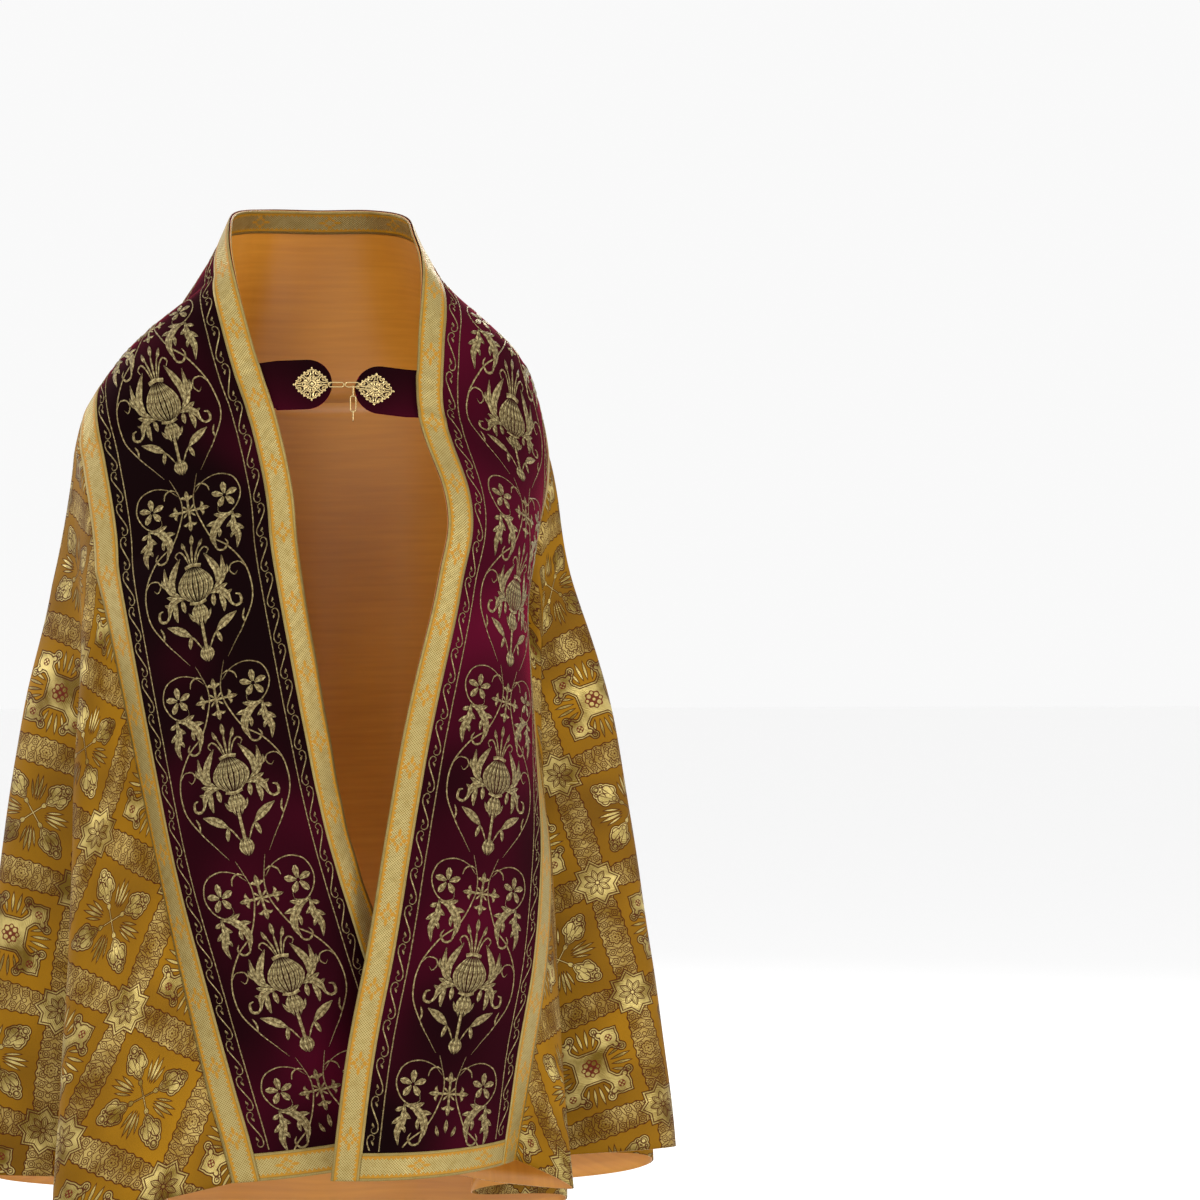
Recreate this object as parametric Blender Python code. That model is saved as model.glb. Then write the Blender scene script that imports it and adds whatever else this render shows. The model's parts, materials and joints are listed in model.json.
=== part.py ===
"""A cope: a half circle of lined brocade worn over the shoulders, with a velvet orphrey along its
straight edge, gold galloons, a fringed hood at the back and a clasp of two tabs with a chain.

Metres, +Z up, the wearer faces -Y. The origin is the middle of the neck opening, at the height where
the shoulders carry the cope. Every cloth point has flat coordinates (x, y): x runs along the straight
edge from the centre back, negative on the wearer's right, and y runs away from that edge. drape()
turns flat coordinates into the worn shape.
"""

import math

import bmesh
import bpy
import numpy as np
from mathutils import Vector

MM = 0.001

# The cut
RADIUS = 1.350  # half circle of the cope
BAND = 0.250  # width of the orphrey with its galloons
SHOULDER = 0.350  # flat distance from the centre back to the shoulder point, along the band
GALLOON = 0.032

# Layers, as heights over the cloth's inner face
CLOTH = 1.8 * MM
LINING = 1.0 * MM
BRAID = 1.0 * MM
GAP = 0.3 * MM

OUTER = LINING + GAP
TINY = 0.0001

# Hood
HOOD_TOP = BAND + 0.6 * MM  # flat y of its upper edge
HOOD_HALF_WIDTH = 0.262  # velvet, without its galloon
HOOD_LENGTH = 0.462
HOOD_CORNER = 0.110
HOOD_GALLOON = 0.034
HOOD_CLOTH = 2.0 * MM
HOOD_LIFT_TOP = 0.5 * MM  # at the centre back
HOOD_LIFT_TOP_SIDE = 3.5 * MM
HOOD_LIFT = 9.0 * MM
HOOD_FREE = 0.160  # drop over which the hood comes free of the back
HOOD_EVEN = 0.030  # flat reach over which its normals are evened out
HOOD_SIDE_STEPS = 8
HOOD_CORNER_STEPS = 6
HOOD_INSIDE = 0.9  # share of its half width within which its top follows the back's columns
FRINGE_LENGTH = 0.048
FRINGE_STRIP = 0.005
FRINGE_GAP = 0.7 * MM
FRINGE_THICK = 3.0 * MM
FRINGE_PITCH = 0.0104
FRINGE_STRAND = 0.0058
FRINGE_HANG = 1.1  # how much more the strands hang down than they stand out

# Clasp
TAB_HEIGHT = 0.060
TAB_THICK = 2.4 * MM
TAB_TUCK = 0.009  # how far a tab reaches behind the front edge
TAB_SEAT = 0.8 * MM
TAB_BEND = 0.001
TAB_ROUND_ANGLES = (0, 22, 42, 60, 76, 86)  # where the round end's columns stand, in degrees
TAB_FLAT_STEP = 0.4  # share of the flat stretch at its one middle column
TAB_LEVELS = (1, 2, 3)  # the band's stations at a tab's upper edge, middle and lower edge
RIGHT_TIP = (0.0142, -0.124, -0.1830)
LEFT_TIP = (0.0414, -0.124, -0.1870)
PLATE_LENGTH = 0.046
PLATE_HEIGHT = 0.041
PLATE_THICK = 1.6 * MM
PLATE_FROM_TIP = 0.001
PLATE_PETALS = 8
PLATE_STEPS = 3
PLATE_LOBE = 0.05
PLATE_RINGS = (0.0, 0.28, 0.34, 0.62, 0.72, 1.0)  # shares of the half size, hub to edge
PLATE_HOLE_RING = 2
WIRE = 0.75 * MM  # radius of the chain's wire
CHAIN_Y = RIGHT_TIP[1] - TAB_THICK / 2 - PLATE_THICK - 2 * GAP - WIRE  # just in front of the plates
CHAIN_Z = -0.1845
CHAIN_HALF_HEIGHT = 2.6 * MM
HOOK_START = 0.0095
HOOK_END = 0.0290
RING_END = 0.0470
TAIL_X = 0.0390
TAIL_UPPER = 7.0 * MM
TAIL_LOWER = 9.5 * MM
TAIL_DROP = 6.5 * MM
TAIL_NARROW = 1.8 * MM
TAIL_WIDE = 3.2 * MM
LINK_STEPS = 14
LINK_SIDES = 5

# The band at rest, from the wearer's right hem over the neck to the left hem: its inner (front) edge
# and its outer edge. Rows run from the hem of the right side to the hem of the left side.
RIGHT_BAND = (
    # inner_x, inner_y, inner_z, outer_x, outer_y, outer_z
    (0.1463, -0.235, -1.0725, -0.0939, -0.265, -1.128),
    (0.1179, -0.228, -0.968, -0.1230, -0.248, -1.023),
    (0.0671, -0.222, -0.821, -0.1574, -0.222, -0.877),
    (0.0302, -0.215, -0.706, -0.1830, -0.200, -0.760),
    (0.0058, -0.190, -0.576, -0.2117, -0.160, -0.632),
    (-0.0235, -0.158, -0.400, -0.2494, -0.115, -0.458),
    (-0.0319, -0.138, -0.310, -0.2740, -0.082, -0.370),
    (-0.0523, -0.118, -0.218, -0.2860, -0.045, -0.285),
    (-0.0799, -0.100, -0.135, -0.2780, 0.000, -0.207),
    (-0.1030, -0.066, -0.036, -0.2320, 0.084, -0.186),
    (-0.1070, -0.026, 0.010, -0.1820, 0.122, -0.184),
    (-0.1000, 0.030, 0.034, -0.1220, 0.144, -0.187),
    (-0.0620, 0.078, 0.042, -0.0620, 0.153, -0.190),
)
CENTRE_BAND = ((0.0, 0.085, 0.042, 0.0, 0.155, -0.191),)
LEFT_BAND = (
    (0.0620, 0.078, 0.042, 0.0620, 0.153, -0.190),
    (0.1020, 0.030, 0.030, 0.1220, 0.144, -0.189),
    (0.1120, -0.020, 0.004, 0.1800, 0.122, -0.193),
    (0.1210, -0.065, -0.042, 0.2260, 0.084, -0.203),
    (0.1165, -0.105, -0.142, 0.2660, 0.005, -0.236),
    (0.1172, -0.130, -0.226, 0.2740, 0.005, -0.302),
    (0.1474, -0.185, -0.329, 0.2450, 0.000, -0.400),
    (0.1362, -0.205, -0.416, 0.2460, -0.010, -0.482),
    (0.0996, -0.225, -0.5745, 0.2580, -0.070, -0.628),
    (0.0762, -0.240, -0.7045, 0.2705, -0.120, -0.748),
    (0.0552, -0.265, -0.830, 0.2646, -0.160, -0.864),
    (0.0297, -0.287, -0.959, 0.2450, -0.185, -0.985),
    (0.0125, -0.305, -1.0977, 0.2208, -0.205, -1.112),
)
BAND_ROWS = np.array(RIGHT_BAND + CENTRE_BAND + LEFT_BAND)
ROWS_TO_SHOULDER = 5  # rows from the centre back to each shoulder point
FULLEST_BOW = 0.86  # least chord of the band's section, as a share of its width
FLATTEST_BOW = 0.992

# Fold lines of the body, from the right side round the back to the left side. Each starts at the
# shoulder point or the band's lower edge, and is given in plan half way down and at the hem.
MID_LEVEL = 0.42
FOLD_START = 0.40  # level of drop by which the folds are full
FAN_BULGE = 0.16  # how far the cloth rounds out over the arm, as a share of the level of drop
FOLD_ROUND = 0.85  # roundness of the folds
FOLDS = (
    # mid_x, mid_y, hem_x, hem_y, hem_z
    (-0.278, -0.150, -0.298, -0.268, -1.145),
    (-0.272, -0.084, -0.180, -0.112, -1.130),
    (-0.356, -0.022, -0.414, -0.046, -1.125),
    (-0.282, 0.042, -0.205, 0.052, -1.150),
    (-0.352, 0.106, -0.404, 0.158, -1.160),
    (-0.252, 0.140, -0.195, 0.166, -1.190),
    (-0.300, 0.200, -0.318, 0.292, -1.225),
    (-0.206, 0.214, -0.205, 0.270, -1.252),
    (-0.104, 0.242, -0.112, 0.332, -1.270),
    (0.000, 0.232, 0.000, 0.308, -1.276),
    (0.104, 0.242, 0.112, 0.332, -1.270),
    (0.206, 0.214, 0.205, 0.268, -1.250),
    (0.300, 0.200, 0.318, 0.290, -1.216),
    (0.254, 0.142, 0.195, 0.166, -1.185),
    (0.354, 0.114, 0.418, 0.164, -1.150),
    (0.276, 0.080, 0.200, 0.072, -1.130),
    (0.360, 0.038, 0.428, -0.024, -1.105),
    (0.254, -0.002, 0.160, -0.070, -1.120),
    (0.266, -0.028, 0.292, -0.210, -1.125),
)
SIDE_FOLDS = 7  # fold lines of one side, the last one on the shoulder line

# Steps of the solids
DROP_LEVELS = (0.0, 0.025, 0.055, 0.085, 0.14, 0.21, 0.30, 0.40, 0.51, 0.63, 0.75, 0.87, 0.968, 1.0)
SIDE_STEPS = 3  # columns from one fold line to the next
BACK_STEPS = 3
BAND_ROWS_Y = (0.0, GALLOON, 0.078, 0.125, 0.172, BAND - GALLOON, BAND)
NECK_INSIDE = 0.75  # share of the way to the shoulder points that the inner neck galloon runs

COLOURS = {
    "brocade": (0.50, 0.32, 0.05, 0.42, 0.35),
    "satin": (0.62, 0.30, 0.04, 0.38, 0.0),
    "velvet": (0.085, 0.006, 0.022, 0.85, 0.0),
    "galloon": (0.72, 0.52, 0.20, 0.40, 0.45),
    "fringe": (0.55, 0.42, 0.22, 0.42, 0.45),
    "metal": (0.85, 0.74, 0.46, 0.25, 1.0),
}


def clear_scene():
    for old in list(bpy.data.objects):
        bpy.data.objects.remove(old)


def material(name):
    red, green, blue, roughness, metallic = COLOURS[name]
    made = bpy.data.materials.get(name) or bpy.data.materials.new(name)
    made.use_nodes = True
    shader = made.node_tree.nodes["Principled BSDF"]
    shader.inputs["Base Color"].default_value = (red, green, blue, 1)
    shader.inputs["Roughness"].default_value = roughness
    shader.inputs["Metallic"].default_value = metallic
    return made


def unit(vectors):
    return vectors / np.linalg.norm(vectors, axis=-1, keepdims=True)


def smooth_mix(before, start, end, after, share):
    """A Catmull-Rom curve from start to end."""
    s = share[..., None]
    return 0.5 * (
        2 * start
        + (end - before) * s
        + (2 * before - 5 * start + 4 * end - after) * s**2
        + (3 * start - before - 3 * end + after) * s**3
    )


def curve_through(rows, u):
    """Points of a smooth curve through the rows; u counts rows and may be an array."""
    last = len(rows) - 1
    i = np.clip(np.floor(u).astype(int), 0, last - 1)
    padded = np.vstack([2 * rows[:1] - rows[1:2], rows, 2 * rows[-1:] - rows[-2:-1]])
    return smooth_mix(padded[i], padded[i + 1], padded[i + 2], padded[i + 3], u - i)


def round_slope(one, other):
    """Slope where two chords meet: across the fold, and as long as the shorter chord."""
    shorter = np.minimum(np.linalg.norm(one, axis=-1), np.linalg.norm(other, axis=-1))
    across = one + other
    length = np.linalg.norm(across, axis=-1) + 1e-9
    return across * (FOLD_ROUND * shorter / length)[..., None]


def bow_angle(share):
    """Half the angle of an arc whose chord is this share of its length."""
    angle = np.sqrt(6 * (1 - share))
    for _ in range(8):
        angle = angle - (np.sin(angle) - share * angle) / (np.cos(angle) - share)
    return angle


class Band:
    """The orphrey's strip: at each flat x an arc as long as the band is wide, from edge to edge."""

    samples = 520

    def __init__(self):
        u = np.linspace(0, len(BAND_ROWS) - 1, self.samples)
        both = curve_through(BAND_ROWS, u)
        inner, outer = both[:, :3], both[:, 3:]
        chord = outer - inner
        length = np.linalg.norm(chord, axis=1, keepdims=True)
        chord = chord / length
        span = np.clip(length / BAND, None, FLATTEST_BOW)
        along = np.gradient(inner + outer, axis=0)
        self.inner = inner
        self.across = chord
        self.outward = unit(np.cross(along, chord))
        self.span = span[:, 0]
        self.bow = bow_angle(np.clip(self.span, FULLEST_BOW, None))
        self.flat_x = self.flat_lengths(inner, u)

    def flat_lengths(self, inner, u):
        """Flat x of each sample, with the shoulder points and both hem corners where the cut has them."""
        run = np.concatenate([[0], np.cumsum(np.linalg.norm(np.diff(inner, axis=0), axis=1))])
        middle = len(RIGHT_BAND)
        rows = (0, middle - ROWS_TO_SHOULDER, middle, middle + ROWS_TO_SHOULDER, len(BAND_ROWS) - 1)
        return np.interp(run, np.interp(rows, u, run), (-RADIUS, -SHOULDER, 0, SHOULDER, RADIUS))

    def at(self, x, values):
        if values.ndim == 1:
            return np.interp(x, self.flat_x, values)
        return np.stack([np.interp(x, self.flat_x, column) for column in values.T], axis=-1)

    def point(self, x, y):
        bow = self.at(x, self.bow)
        reach = self.at(x, self.span) * BAND
        turn = bow * (2 * y / BAND - 1)
        along_chord = 0.5 * reach * (1 + np.sin(turn) / np.sin(bow))
        rise = 0.5 * reach * (np.cos(turn) - np.cos(bow)) / np.sin(bow)
        across = self.at(x, self.across) * along_chord[..., None]
        return self.at(x, self.inner) + across + self.at(x, self.outward) * rise[..., None]


def hem_drop(angle):
    """Cloth from a shoulder point to the hem, along a ray at this angle to the straight edge."""
    toward = SHOULDER * np.cos(angle) + BAND * np.sin(angle)
    return np.sqrt(toward**2 + RADIUS**2 - SHOULDER**2 - BAND**2) - toward


class Body:
    """The cloth below the band. Its sections run through the fold lines at each level of drop."""

    samples = 60  # between two fold lines, for measuring
    tangent_reach = 0.06

    def __init__(self, band):
        self.band = band
        self.last = len(FOLDS) + 1
        self.plan = np.array(FOLDS)
        self.shoulder_lines = (SIDE_FOLDS, self.last - SIDE_FOLDS)
        back = np.linspace(-SHOULDER, SHOULDER, self.shoulder_lines[1] - self.shoulder_lines[0] + 1)
        at_shoulder = np.full(SIDE_FOLDS, SHOULDER)
        self.line_x = np.concatenate([-at_shoulder, back, at_shoulder])
        self.tops = band.point(self.line_x, np.full(len(self.line_x), BAND))
        self.measure_hem()

    def edge_point(self, side, level, y):
        """The band at this level of drop, on the side where side is -1 or 1."""
        corner = np.sqrt(RADIUS**2 - BAND**2)
        x = side * (SHOULDER + level * (corner - SHOULDER))
        return self.band.point(x, np.full(np.shape(x), y))

    def line_point(self, line, level):
        """A fold line at a level of drop, its fold growing out of an even fan near the shoulder."""
        depth = np.clip(level / FOLD_START, 0, 1)
        depth = (depth * depth * (3 - 2 * depth))[..., None]
        here = self.full_line(line, level)
        for band_line, shoulder_line, side in ((0, SIDE_FOLDS, -1), (self.last, self.last - SIDE_FOLDS, 1)):
            share = ((line - band_line) / (shoulder_line - band_line))[..., None]
            edge = self.full_line(np.full_like(line, band_line), level)
            shoulder = self.full_line(np.full_like(line, shoulder_line), level)
            fan = edge + (shoulder - edge) * share
            fan[..., 0] += side * FAN_BULGE * level * np.sin(math.pi * np.clip(share[..., 0], 0, 1))
            here = np.where((share > 0) & (share < 1), fan + (here - fan) * depth, here)
        return here

    def full_line(self, line, level):
        """A fold line as the table gives it. Lines 0 and last are the band's outer edge."""
        k = np.clip(line, 1, self.last - 1)
        mid_x, mid_y, hem_x, hem_y, hem_z = np.moveaxis(self.plan[k - 1], -1, 0)
        top = self.tops[k]
        start = (level - MID_LEVEL) * (level - 1) / MID_LEVEL
        middle = level * (level - 1) / (MID_LEVEL * (MID_LEVEL - 1))
        end = level * (level - MID_LEVEL) / (1 - MID_LEVEL)
        found = np.stack(
            [
                start * top[..., 0] + middle * mid_x + end * hem_x,
                start * top[..., 1] + middle * mid_y + end * hem_y,
                (1 - level) * top[..., 2] + level * hem_z,
            ],
            axis=-1,
        )
        for number, y in ((-1, BAND - self.tangent_reach), (0, BAND)):
            for side, at in ((-1, number), (1, self.last - number)):
                edge = self.edge_point(side, level, y)
                found = np.where((line == at)[..., None], edge, found)
        return found

    def section(self, place, level):
        """A point of the section at this level; place counts fold lines."""
        i = np.clip(np.floor(place).astype(int), 0, self.last - 1)
        before, start, end, after = (self.line_point(i + step, level) for step in (-1, 0, 1, 2))
        s = (place - i)[..., None]
        leave, arrive = round_slope(start - before, end - start), round_slope(end - start, after - end)
        rise = 3 * s**2 - 2 * s**3
        return start + (end - start) * rise + leave * (s - 1) ** 2 * s + arrive * (s - 1) * s**2

    def measure_hem(self):
        """Shares the cut out between the fold lines by their distance apart along the hem."""
        places = np.linspace(0, self.last, self.last * self.samples + 1)
        hem = self.section(places, np.ones(len(places)))
        run = np.concatenate([[0], np.cumsum(np.linalg.norm(np.diff(hem, axis=0), axis=1))])
        first, second = (run[line * self.samples] for line in self.shoulder_lines)
        self.places = places
        # One number runs round the hem: the angle on each side, and the flat x across the back.
        ends = (0, first, second, run[-1])
        self.round_hem = np.interp(run, ends, (0, 1, 2, 3))

    def flat_to_place(self, x, y):
        """(place, level) of a flat point below the band."""
        beyond = np.abs(x) - SHOULDER
        below = np.maximum(y - BAND, 0)
        angle = np.arctan2(below, np.maximum(beyond, 1e-9))
        on_back = beyond <= 0
        share = np.where(on_back, 1.5 + 0.5 * x / SHOULDER, angle / (math.pi / 2))
        share = np.where(~on_back & (x > 0), 3 - share, share)
        back_x = np.clip(x, -SHOULDER, SHOULDER)
        whole = np.where(on_back, np.sqrt(RADIUS**2 - back_x**2) - BAND, hem_drop(angle))
        drop = np.where(on_back, below, np.hypot(beyond, below))
        return np.interp(share, self.round_hem, self.places), drop / whole

    def point(self, x, y):
        place, level = self.flat_to_place(x, y)
        found = self.section(place, level)
        seam_x = np.clip(x, -SHOULDER, SHOULDER)
        seam = self.band.point(seam_x, np.full(np.shape(x), BAND))
        top = self.section(place, np.zeros(np.shape(x)))
        fade = np.where(np.abs(x) <= SHOULDER, (1 - level) ** 2, 0)
        return found + (seam - top) * fade[..., None]

    def flat_of(self, place, level):
        """The flat point at a place round the hem and a level of drop."""
        share = np.interp(place, self.places, self.round_hem)
        side = np.where(share < 1.5, -1, 1)
        angle = np.clip(np.where(share < 1.5, share, 3 - share), 0, 1) * math.pi / 2
        back_x = (np.clip(share, 1, 2) - 1.5) * 2 * SHOULDER
        on_back = (share >= 1) & (share <= 2)
        ray = level * hem_drop(angle)
        back_drop = level * (np.sqrt(RADIUS**2 - back_x**2) - BAND)
        x = np.where(on_back, back_x, side * (SHOULDER + ray * np.cos(angle)))
        return x, BAND + np.where(on_back, back_drop, ray * np.sin(angle))


STRIP = Band()
SKIRT = Body(STRIP)


def drape(x, y):
    """The worn place of flat points of the cut."""
    x, y = np.broadcast_arrays(np.asarray(x, float), np.asarray(y, float))
    on_band = STRIP.point(x, np.minimum(y, BAND))
    return np.where((y > BAND)[..., None], SKIRT.point(x, y), on_band)


def outward(x, y, reach=0.005):
    """Unit normals of the worn cloth, pointing away from the wearer."""
    along = drape(x + reach, y) - drape(x - reach, y)
    across = drape(x, y + reach) - drape(x, y - reach)
    return unit(np.cross(along, across))


def layer(x, y, height):
    """Points over the cloth, at a height along its normal."""
    return drape(x, y) + outward(x, y) * np.asarray(height)[..., None]


def add_object(name, mesh, kind, smooth_angle=40):
    mesh.materials.append(material(kind))
    mesh.shade_smooth()
    mesh.set_sharp_from_angle(angle=math.radians(smooth_angle))
    made = bpy.data.objects.new(name, mesh)
    bpy.context.scene.collection.objects.link(made)
    return made


def object_from(name, kind, form):
    bmesh.ops.recalc_face_normals(form, faces=form.faces)
    mesh = bpy.data.meshes.new(name)
    form.to_mesh(mesh)
    form.free()
    return add_object(name, mesh, kind)


def solid_between(name, kind, low, high, cells):
    """A closed wall between two layers of the same points, walled along the cells' free edges."""
    form = bmesh.new()
    under = [form.verts.new(point) for point in low]
    over = [form.verts.new(point) for point in high]
    edges = {(a, b) for cell in cells for a, b in zip(cell, cell[1:] + cell[:1])}
    for cell in cells:
        form.faces.new([over[i] for i in cell])
        form.faces.new([under[i] for i in reversed(cell)])
    for a, b in sorted(edges):
        if (b, a) in edges:
            continue
        # The two pieces at a seam split their facing walls along the same diagonal.
        if low[a][2] > low[b][2]:
            form.faces.new((over[b], over[a], under[b]))
            form.faces.new((over[a], under[a], under[b]))
        else:
            form.faces.new((over[b], over[a], under[a]))
            form.faces.new((over[b], under[a], under[b]))
    return object_from(name, kind, form)


def flat_key(x, y):
    return round(float(x), 6), round(float(y), 6)


def weld(patches):
    """Flat points and three-cornered cells of grids (x, y), one point where grids meet."""
    found = {}
    cells = []
    for x, y in patches:
        rows, columns = x.shape
        keys = [[flat_key(*pair) for pair in zip(*row)] for row in zip(x, y)]
        for key in (key for row in keys for key in row):
            found.setdefault(key, len(found))
        for j in range(rows - 1):
            for i in range(columns - 1):
                a, b = keys[j][i], keys[j][i + 1]
                c, d = keys[j + 1][i + 1], keys[j + 1][i]
                for corners in ((a, b, c), (a, c, d)):
                    if len(set(corners)) == 3:
                        cells.append(tuple(found[corner] for corner in corners))
    flat = np.array(list(found))
    return flat[:, 0], flat[:, 1], cells


def wall(name, kind, patches, low, high):
    """A wall of cloth over flat grids, between two heights above the cope's inner face."""
    x, y, cells = weld(patches)
    base = drape(x, y)
    normal = outward(x, y)
    return solid_between(name, kind, base + normal * low, base + normal * high, cells)


def back_places():
    """Columns across the back, with the centre back galloon's two edges among them."""
    first, second = SKIRT.shoulder_lines
    places = np.linspace(first, second, (second - first) * BACK_STEPS + 1)
    middle = (first + second) / 2
    edge = GALLOON / (4 * SHOULDER)
    edges = [np.interp(1.5 + shift, SKIRT.round_hem, SKIRT.places) for shift in (-edge, edge)]
    kept = [place for place in places if abs(place - middle) > 0.5 / BACK_STEPS]
    return np.array(sorted(kept + [edges[0], middle, edges[1]]))


def side_places(side):
    """Columns of one side of the body, from the band's edge to the shoulder line."""
    ends = (0, SIDE_FOLDS) if side < 0 else (SKIRT.last - SIDE_FOLDS, SKIRT.last)
    return np.linspace(*ends, SIDE_FOLDS * SIDE_STEPS + 1)


def body_grid(places):
    """Flat grid of the body: a row for each level of drop."""
    return SKIRT.flat_of(*np.meshgrid(places, DROP_LEVELS))


def band_stations(first, last):
    """Stations along the band between two of its marks, as (back flat x or None, side, level)."""
    back_x, _ = SKIRT.flat_of(back_places(), np.zeros(len(back_places())))
    marks = [(None, -1, level) for level in DROP_LEVELS[:0:-1]]
    marks += [(x, 0, 0.0) for x in back_x]
    marks += [(None, 1, level) for level in DROP_LEVELS[1:]]
    return [mark for mark in marks if first - TINY <= station_number(mark) <= last + TINY]


def station_number(mark):
    """Order of a mark along the band: -2 right hem, -1 right shoulder, 0 centre, 1 and 2 left."""
    x, side, level = mark
    return x / SHOULDER if side == 0 else side * (1 + level)


def band_grid(marks, y_values):
    """Flat grid of the band at these stations, one row for each y."""
    y = np.array(y_values)[:, None]
    hem = np.sqrt(RADIUS**2 - y**2)
    columns = []
    for x, side, level in marks:
        columns.append(np.full(y.shape, x) if side == 0 else side * (SHOULDER + level * (hem - SHOULDER)))
    x = np.concatenate(columns, axis=1)
    return x, np.repeat(y, x.shape[1], axis=1)


def trimmed(marks, start=0.0, end=0.0):
    """The same marks with the first and last moved inwards by part of a seam gap."""
    moved = [list(mark) for mark in marks]
    for mark, shift in ((moved[0], start), (moved[-1], -end)):
        if mark[1] == 0:
            mark[0] += shift
        else:
            mark[2] += mark[1] * shift
    return [tuple(mark) for mark in moved]


def make_lining():
    """One half circle of satin, band and body together."""
    patches = [band_grid(band_stations(-2, 2), BAND_ROWS_Y)]
    patches += [body_grid(places) for places in (side_places(-1), back_places(), side_places(1))]
    return wall("lining", "satin", patches, 0.0, LINING)


def make_body():
    """Brocade below the band in three stretches: right side, back and left side."""
    seam = GAP / 2
    for name, places in (
        ("body_right_side", side_places(-1)),
        ("body_back", back_places()),
        ("body_left_side", side_places(1)),
    ):
        x, y = body_grid(places)
        y = np.maximum(y, BAND + seam)
        if name == "body_back":
            x = np.clip(x, seam - SHOULDER, SHOULDER - seam)
        else:
            x = np.where(x < 0, np.minimum(x, -SHOULDER - seam), np.maximum(x, SHOULDER + seam))
        wall(name, "brocade", [(x, y)], OUTER, OUTER + CLOTH)


def make_orphrey():
    """Velvet of the band and the galloons that frame it."""
    seam = GAP / 2
    low, high = OUTER, OUTER + CLOTH
    braid = high + BRAID - GAP
    inner_rows = BAND_ROWS_Y[1:-1]
    velvet_rows = [inner_rows[0] + seam, *inner_rows[1:-1], inner_rows[-1] - seam]
    hem_level = DROP_LEVELS[-2]
    half = 0.5 * GALLOON / SHOULDER
    for side, name in ((-1, "right"), (1, "left")):
        reach = sorted((side * half, side * (1 + hem_level)))
        inset = (seam, seam)
        marks = trimmed(band_stations(*reach), *inset)
        wall(f"orphrey_{name}", "velvet", [band_grid(marks, velvet_rows)], low, high)
        whole = sorted((0, side * 2))
        marks = trimmed(band_stations(*whole), *((0, seam) if side < 0 else (seam, 0)))
        front = [band_grid(marks, (0.0, GALLOON - seam))]
        wall(f"front_galloon_{name}", "galloon", front, low, braid)
        edge = [band_grid(marks, (BAND - GALLOON + seam, BAND - seam))]
        wall(f"outer_galloon_{name}", "galloon", edge, low, braid)
        hem = sorted((side * (1 + hem_level), side * 2))
        marks = trimmed(band_stations(*hem), *((0, seam) if side < 0 else (seam, 0)))
        wall(f"hem_galloon_{name}", "galloon", [band_grid(marks, velvet_rows)], low, braid)
    marks = trimmed(band_stations(-half, half), seam, seam)
    wall("centre_back_galloon", "galloon", [band_grid(marks, velvet_rows)], low, braid)
    inside = [band_grid(band_stations(-NECK_INSIDE, NECK_INSIDE), (0.0, GALLOON))]
    wall("neck_galloon_inside", "galloon", inside, -GAP - BRAID, -GAP)


def hood_columns():
    """Columns of the hood's top edge at the back's own stations, as shares of its half width."""
    stations = np.array([x for x, side, _ in band_stations(-1, 1) if side == 0])
    inside = stations[np.abs(stations) < HOOD_INSIDE * HOOD_HALF_WIDTH]
    return np.concatenate([[-1], inside / HOOD_HALF_WIDTH, [1]])


def hood_outline(grow):
    """Flat points round the hood's free sides, grown outwards, and the outward directions there."""
    half, radius = HOOD_HALF_WIDTH, HOOD_CORNER
    corner_y = HOOD_TOP + HOOD_LENGTH - radius
    turns = np.radians(np.linspace(0, 90, HOOD_CORNER_STEPS + 1))
    side_y = np.linspace(HOOD_TOP, corner_y, HOOD_SIDE_STEPS, endpoint=False)
    bottom_x = np.linspace(radius - half, half - radius, len(hood_columns()))[1:-1]
    corner = np.stack([-np.cos(turns), np.sin(turns)], axis=-1)
    normal = np.concatenate([np.tile((-1.0, 0.0), (len(side_y), 1)), corner])
    left = np.concatenate([np.stack([np.full(len(side_y), -half), side_y], axis=-1), corner * radius])
    left[len(side_y) :] += (radius - half, corner_y)
    mirrored = (-1, 1)
    bottom = np.stack([bottom_x, np.full(len(bottom_x), corner_y + radius)], axis=-1)
    points = np.concatenate([left, bottom, left[::-1] * mirrored])
    normals = np.concatenate([normal, np.tile((0.0, 1.0), (len(bottom), 1)), normal[::-1] * mirrored])
    points = points + normals * grow
    return points[:, 0], points[:, 1], normals


def hood_lift(x, y):
    """How far the hood stands off the brocade: close under the band's middle, freer lower down."""
    share = np.clip((y - HOOD_TOP) / HOOD_FREE, 0, 1)
    top = HOOD_LIFT_TOP + (HOOD_LIFT_TOP_SIDE - HOOD_LIFT_TOP) * np.clip(x / HOOD_HALF_WIDTH, -1, 1) ** 2
    return OUTER + CLOTH + top + (HOOD_LIFT - top) * share


def hood_layer(x, y, height):
    """Points over the back at the hood's height, its normal evened out over the brocade's folds."""
    reach = HOOD_EVEN
    normal = outward(x, y, reach)
    return drape(x, y) + normal * (hood_lift(x, y) + height)[..., None]


def make_hood():
    """The hood's velvet, the galloon round its three free sides and the fringe outside that."""
    x, y, _ = hood_outline(0.0)
    rows = HOOD_SIDE_STEPS + HOOD_CORNER_STEPS + 1
    across = hood_columns()
    even = np.linspace(-1, 1, len(across))
    turn = np.linspace(0, 1, rows)[:, None] ** 2
    grid_x = -x[:rows, None] * (across + (even - across) * turn)
    grid_y = np.repeat(y[:rows, None], len(across), axis=1)
    hood_wall("hood", "velvet", grid_x, grid_y, 0.0, HOOD_CLOTH)
    edges = [hood_outline(grow) for grow in (GAP, HOOD_GALLOON)]
    x, y = (np.array([edge[i] for edge in edges]) for i in (0, 1))
    hood_wall("hood_galloon", "galloon", x, y, 0.0, HOOD_CLOTH + BRAID)
    make_fringe()


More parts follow.
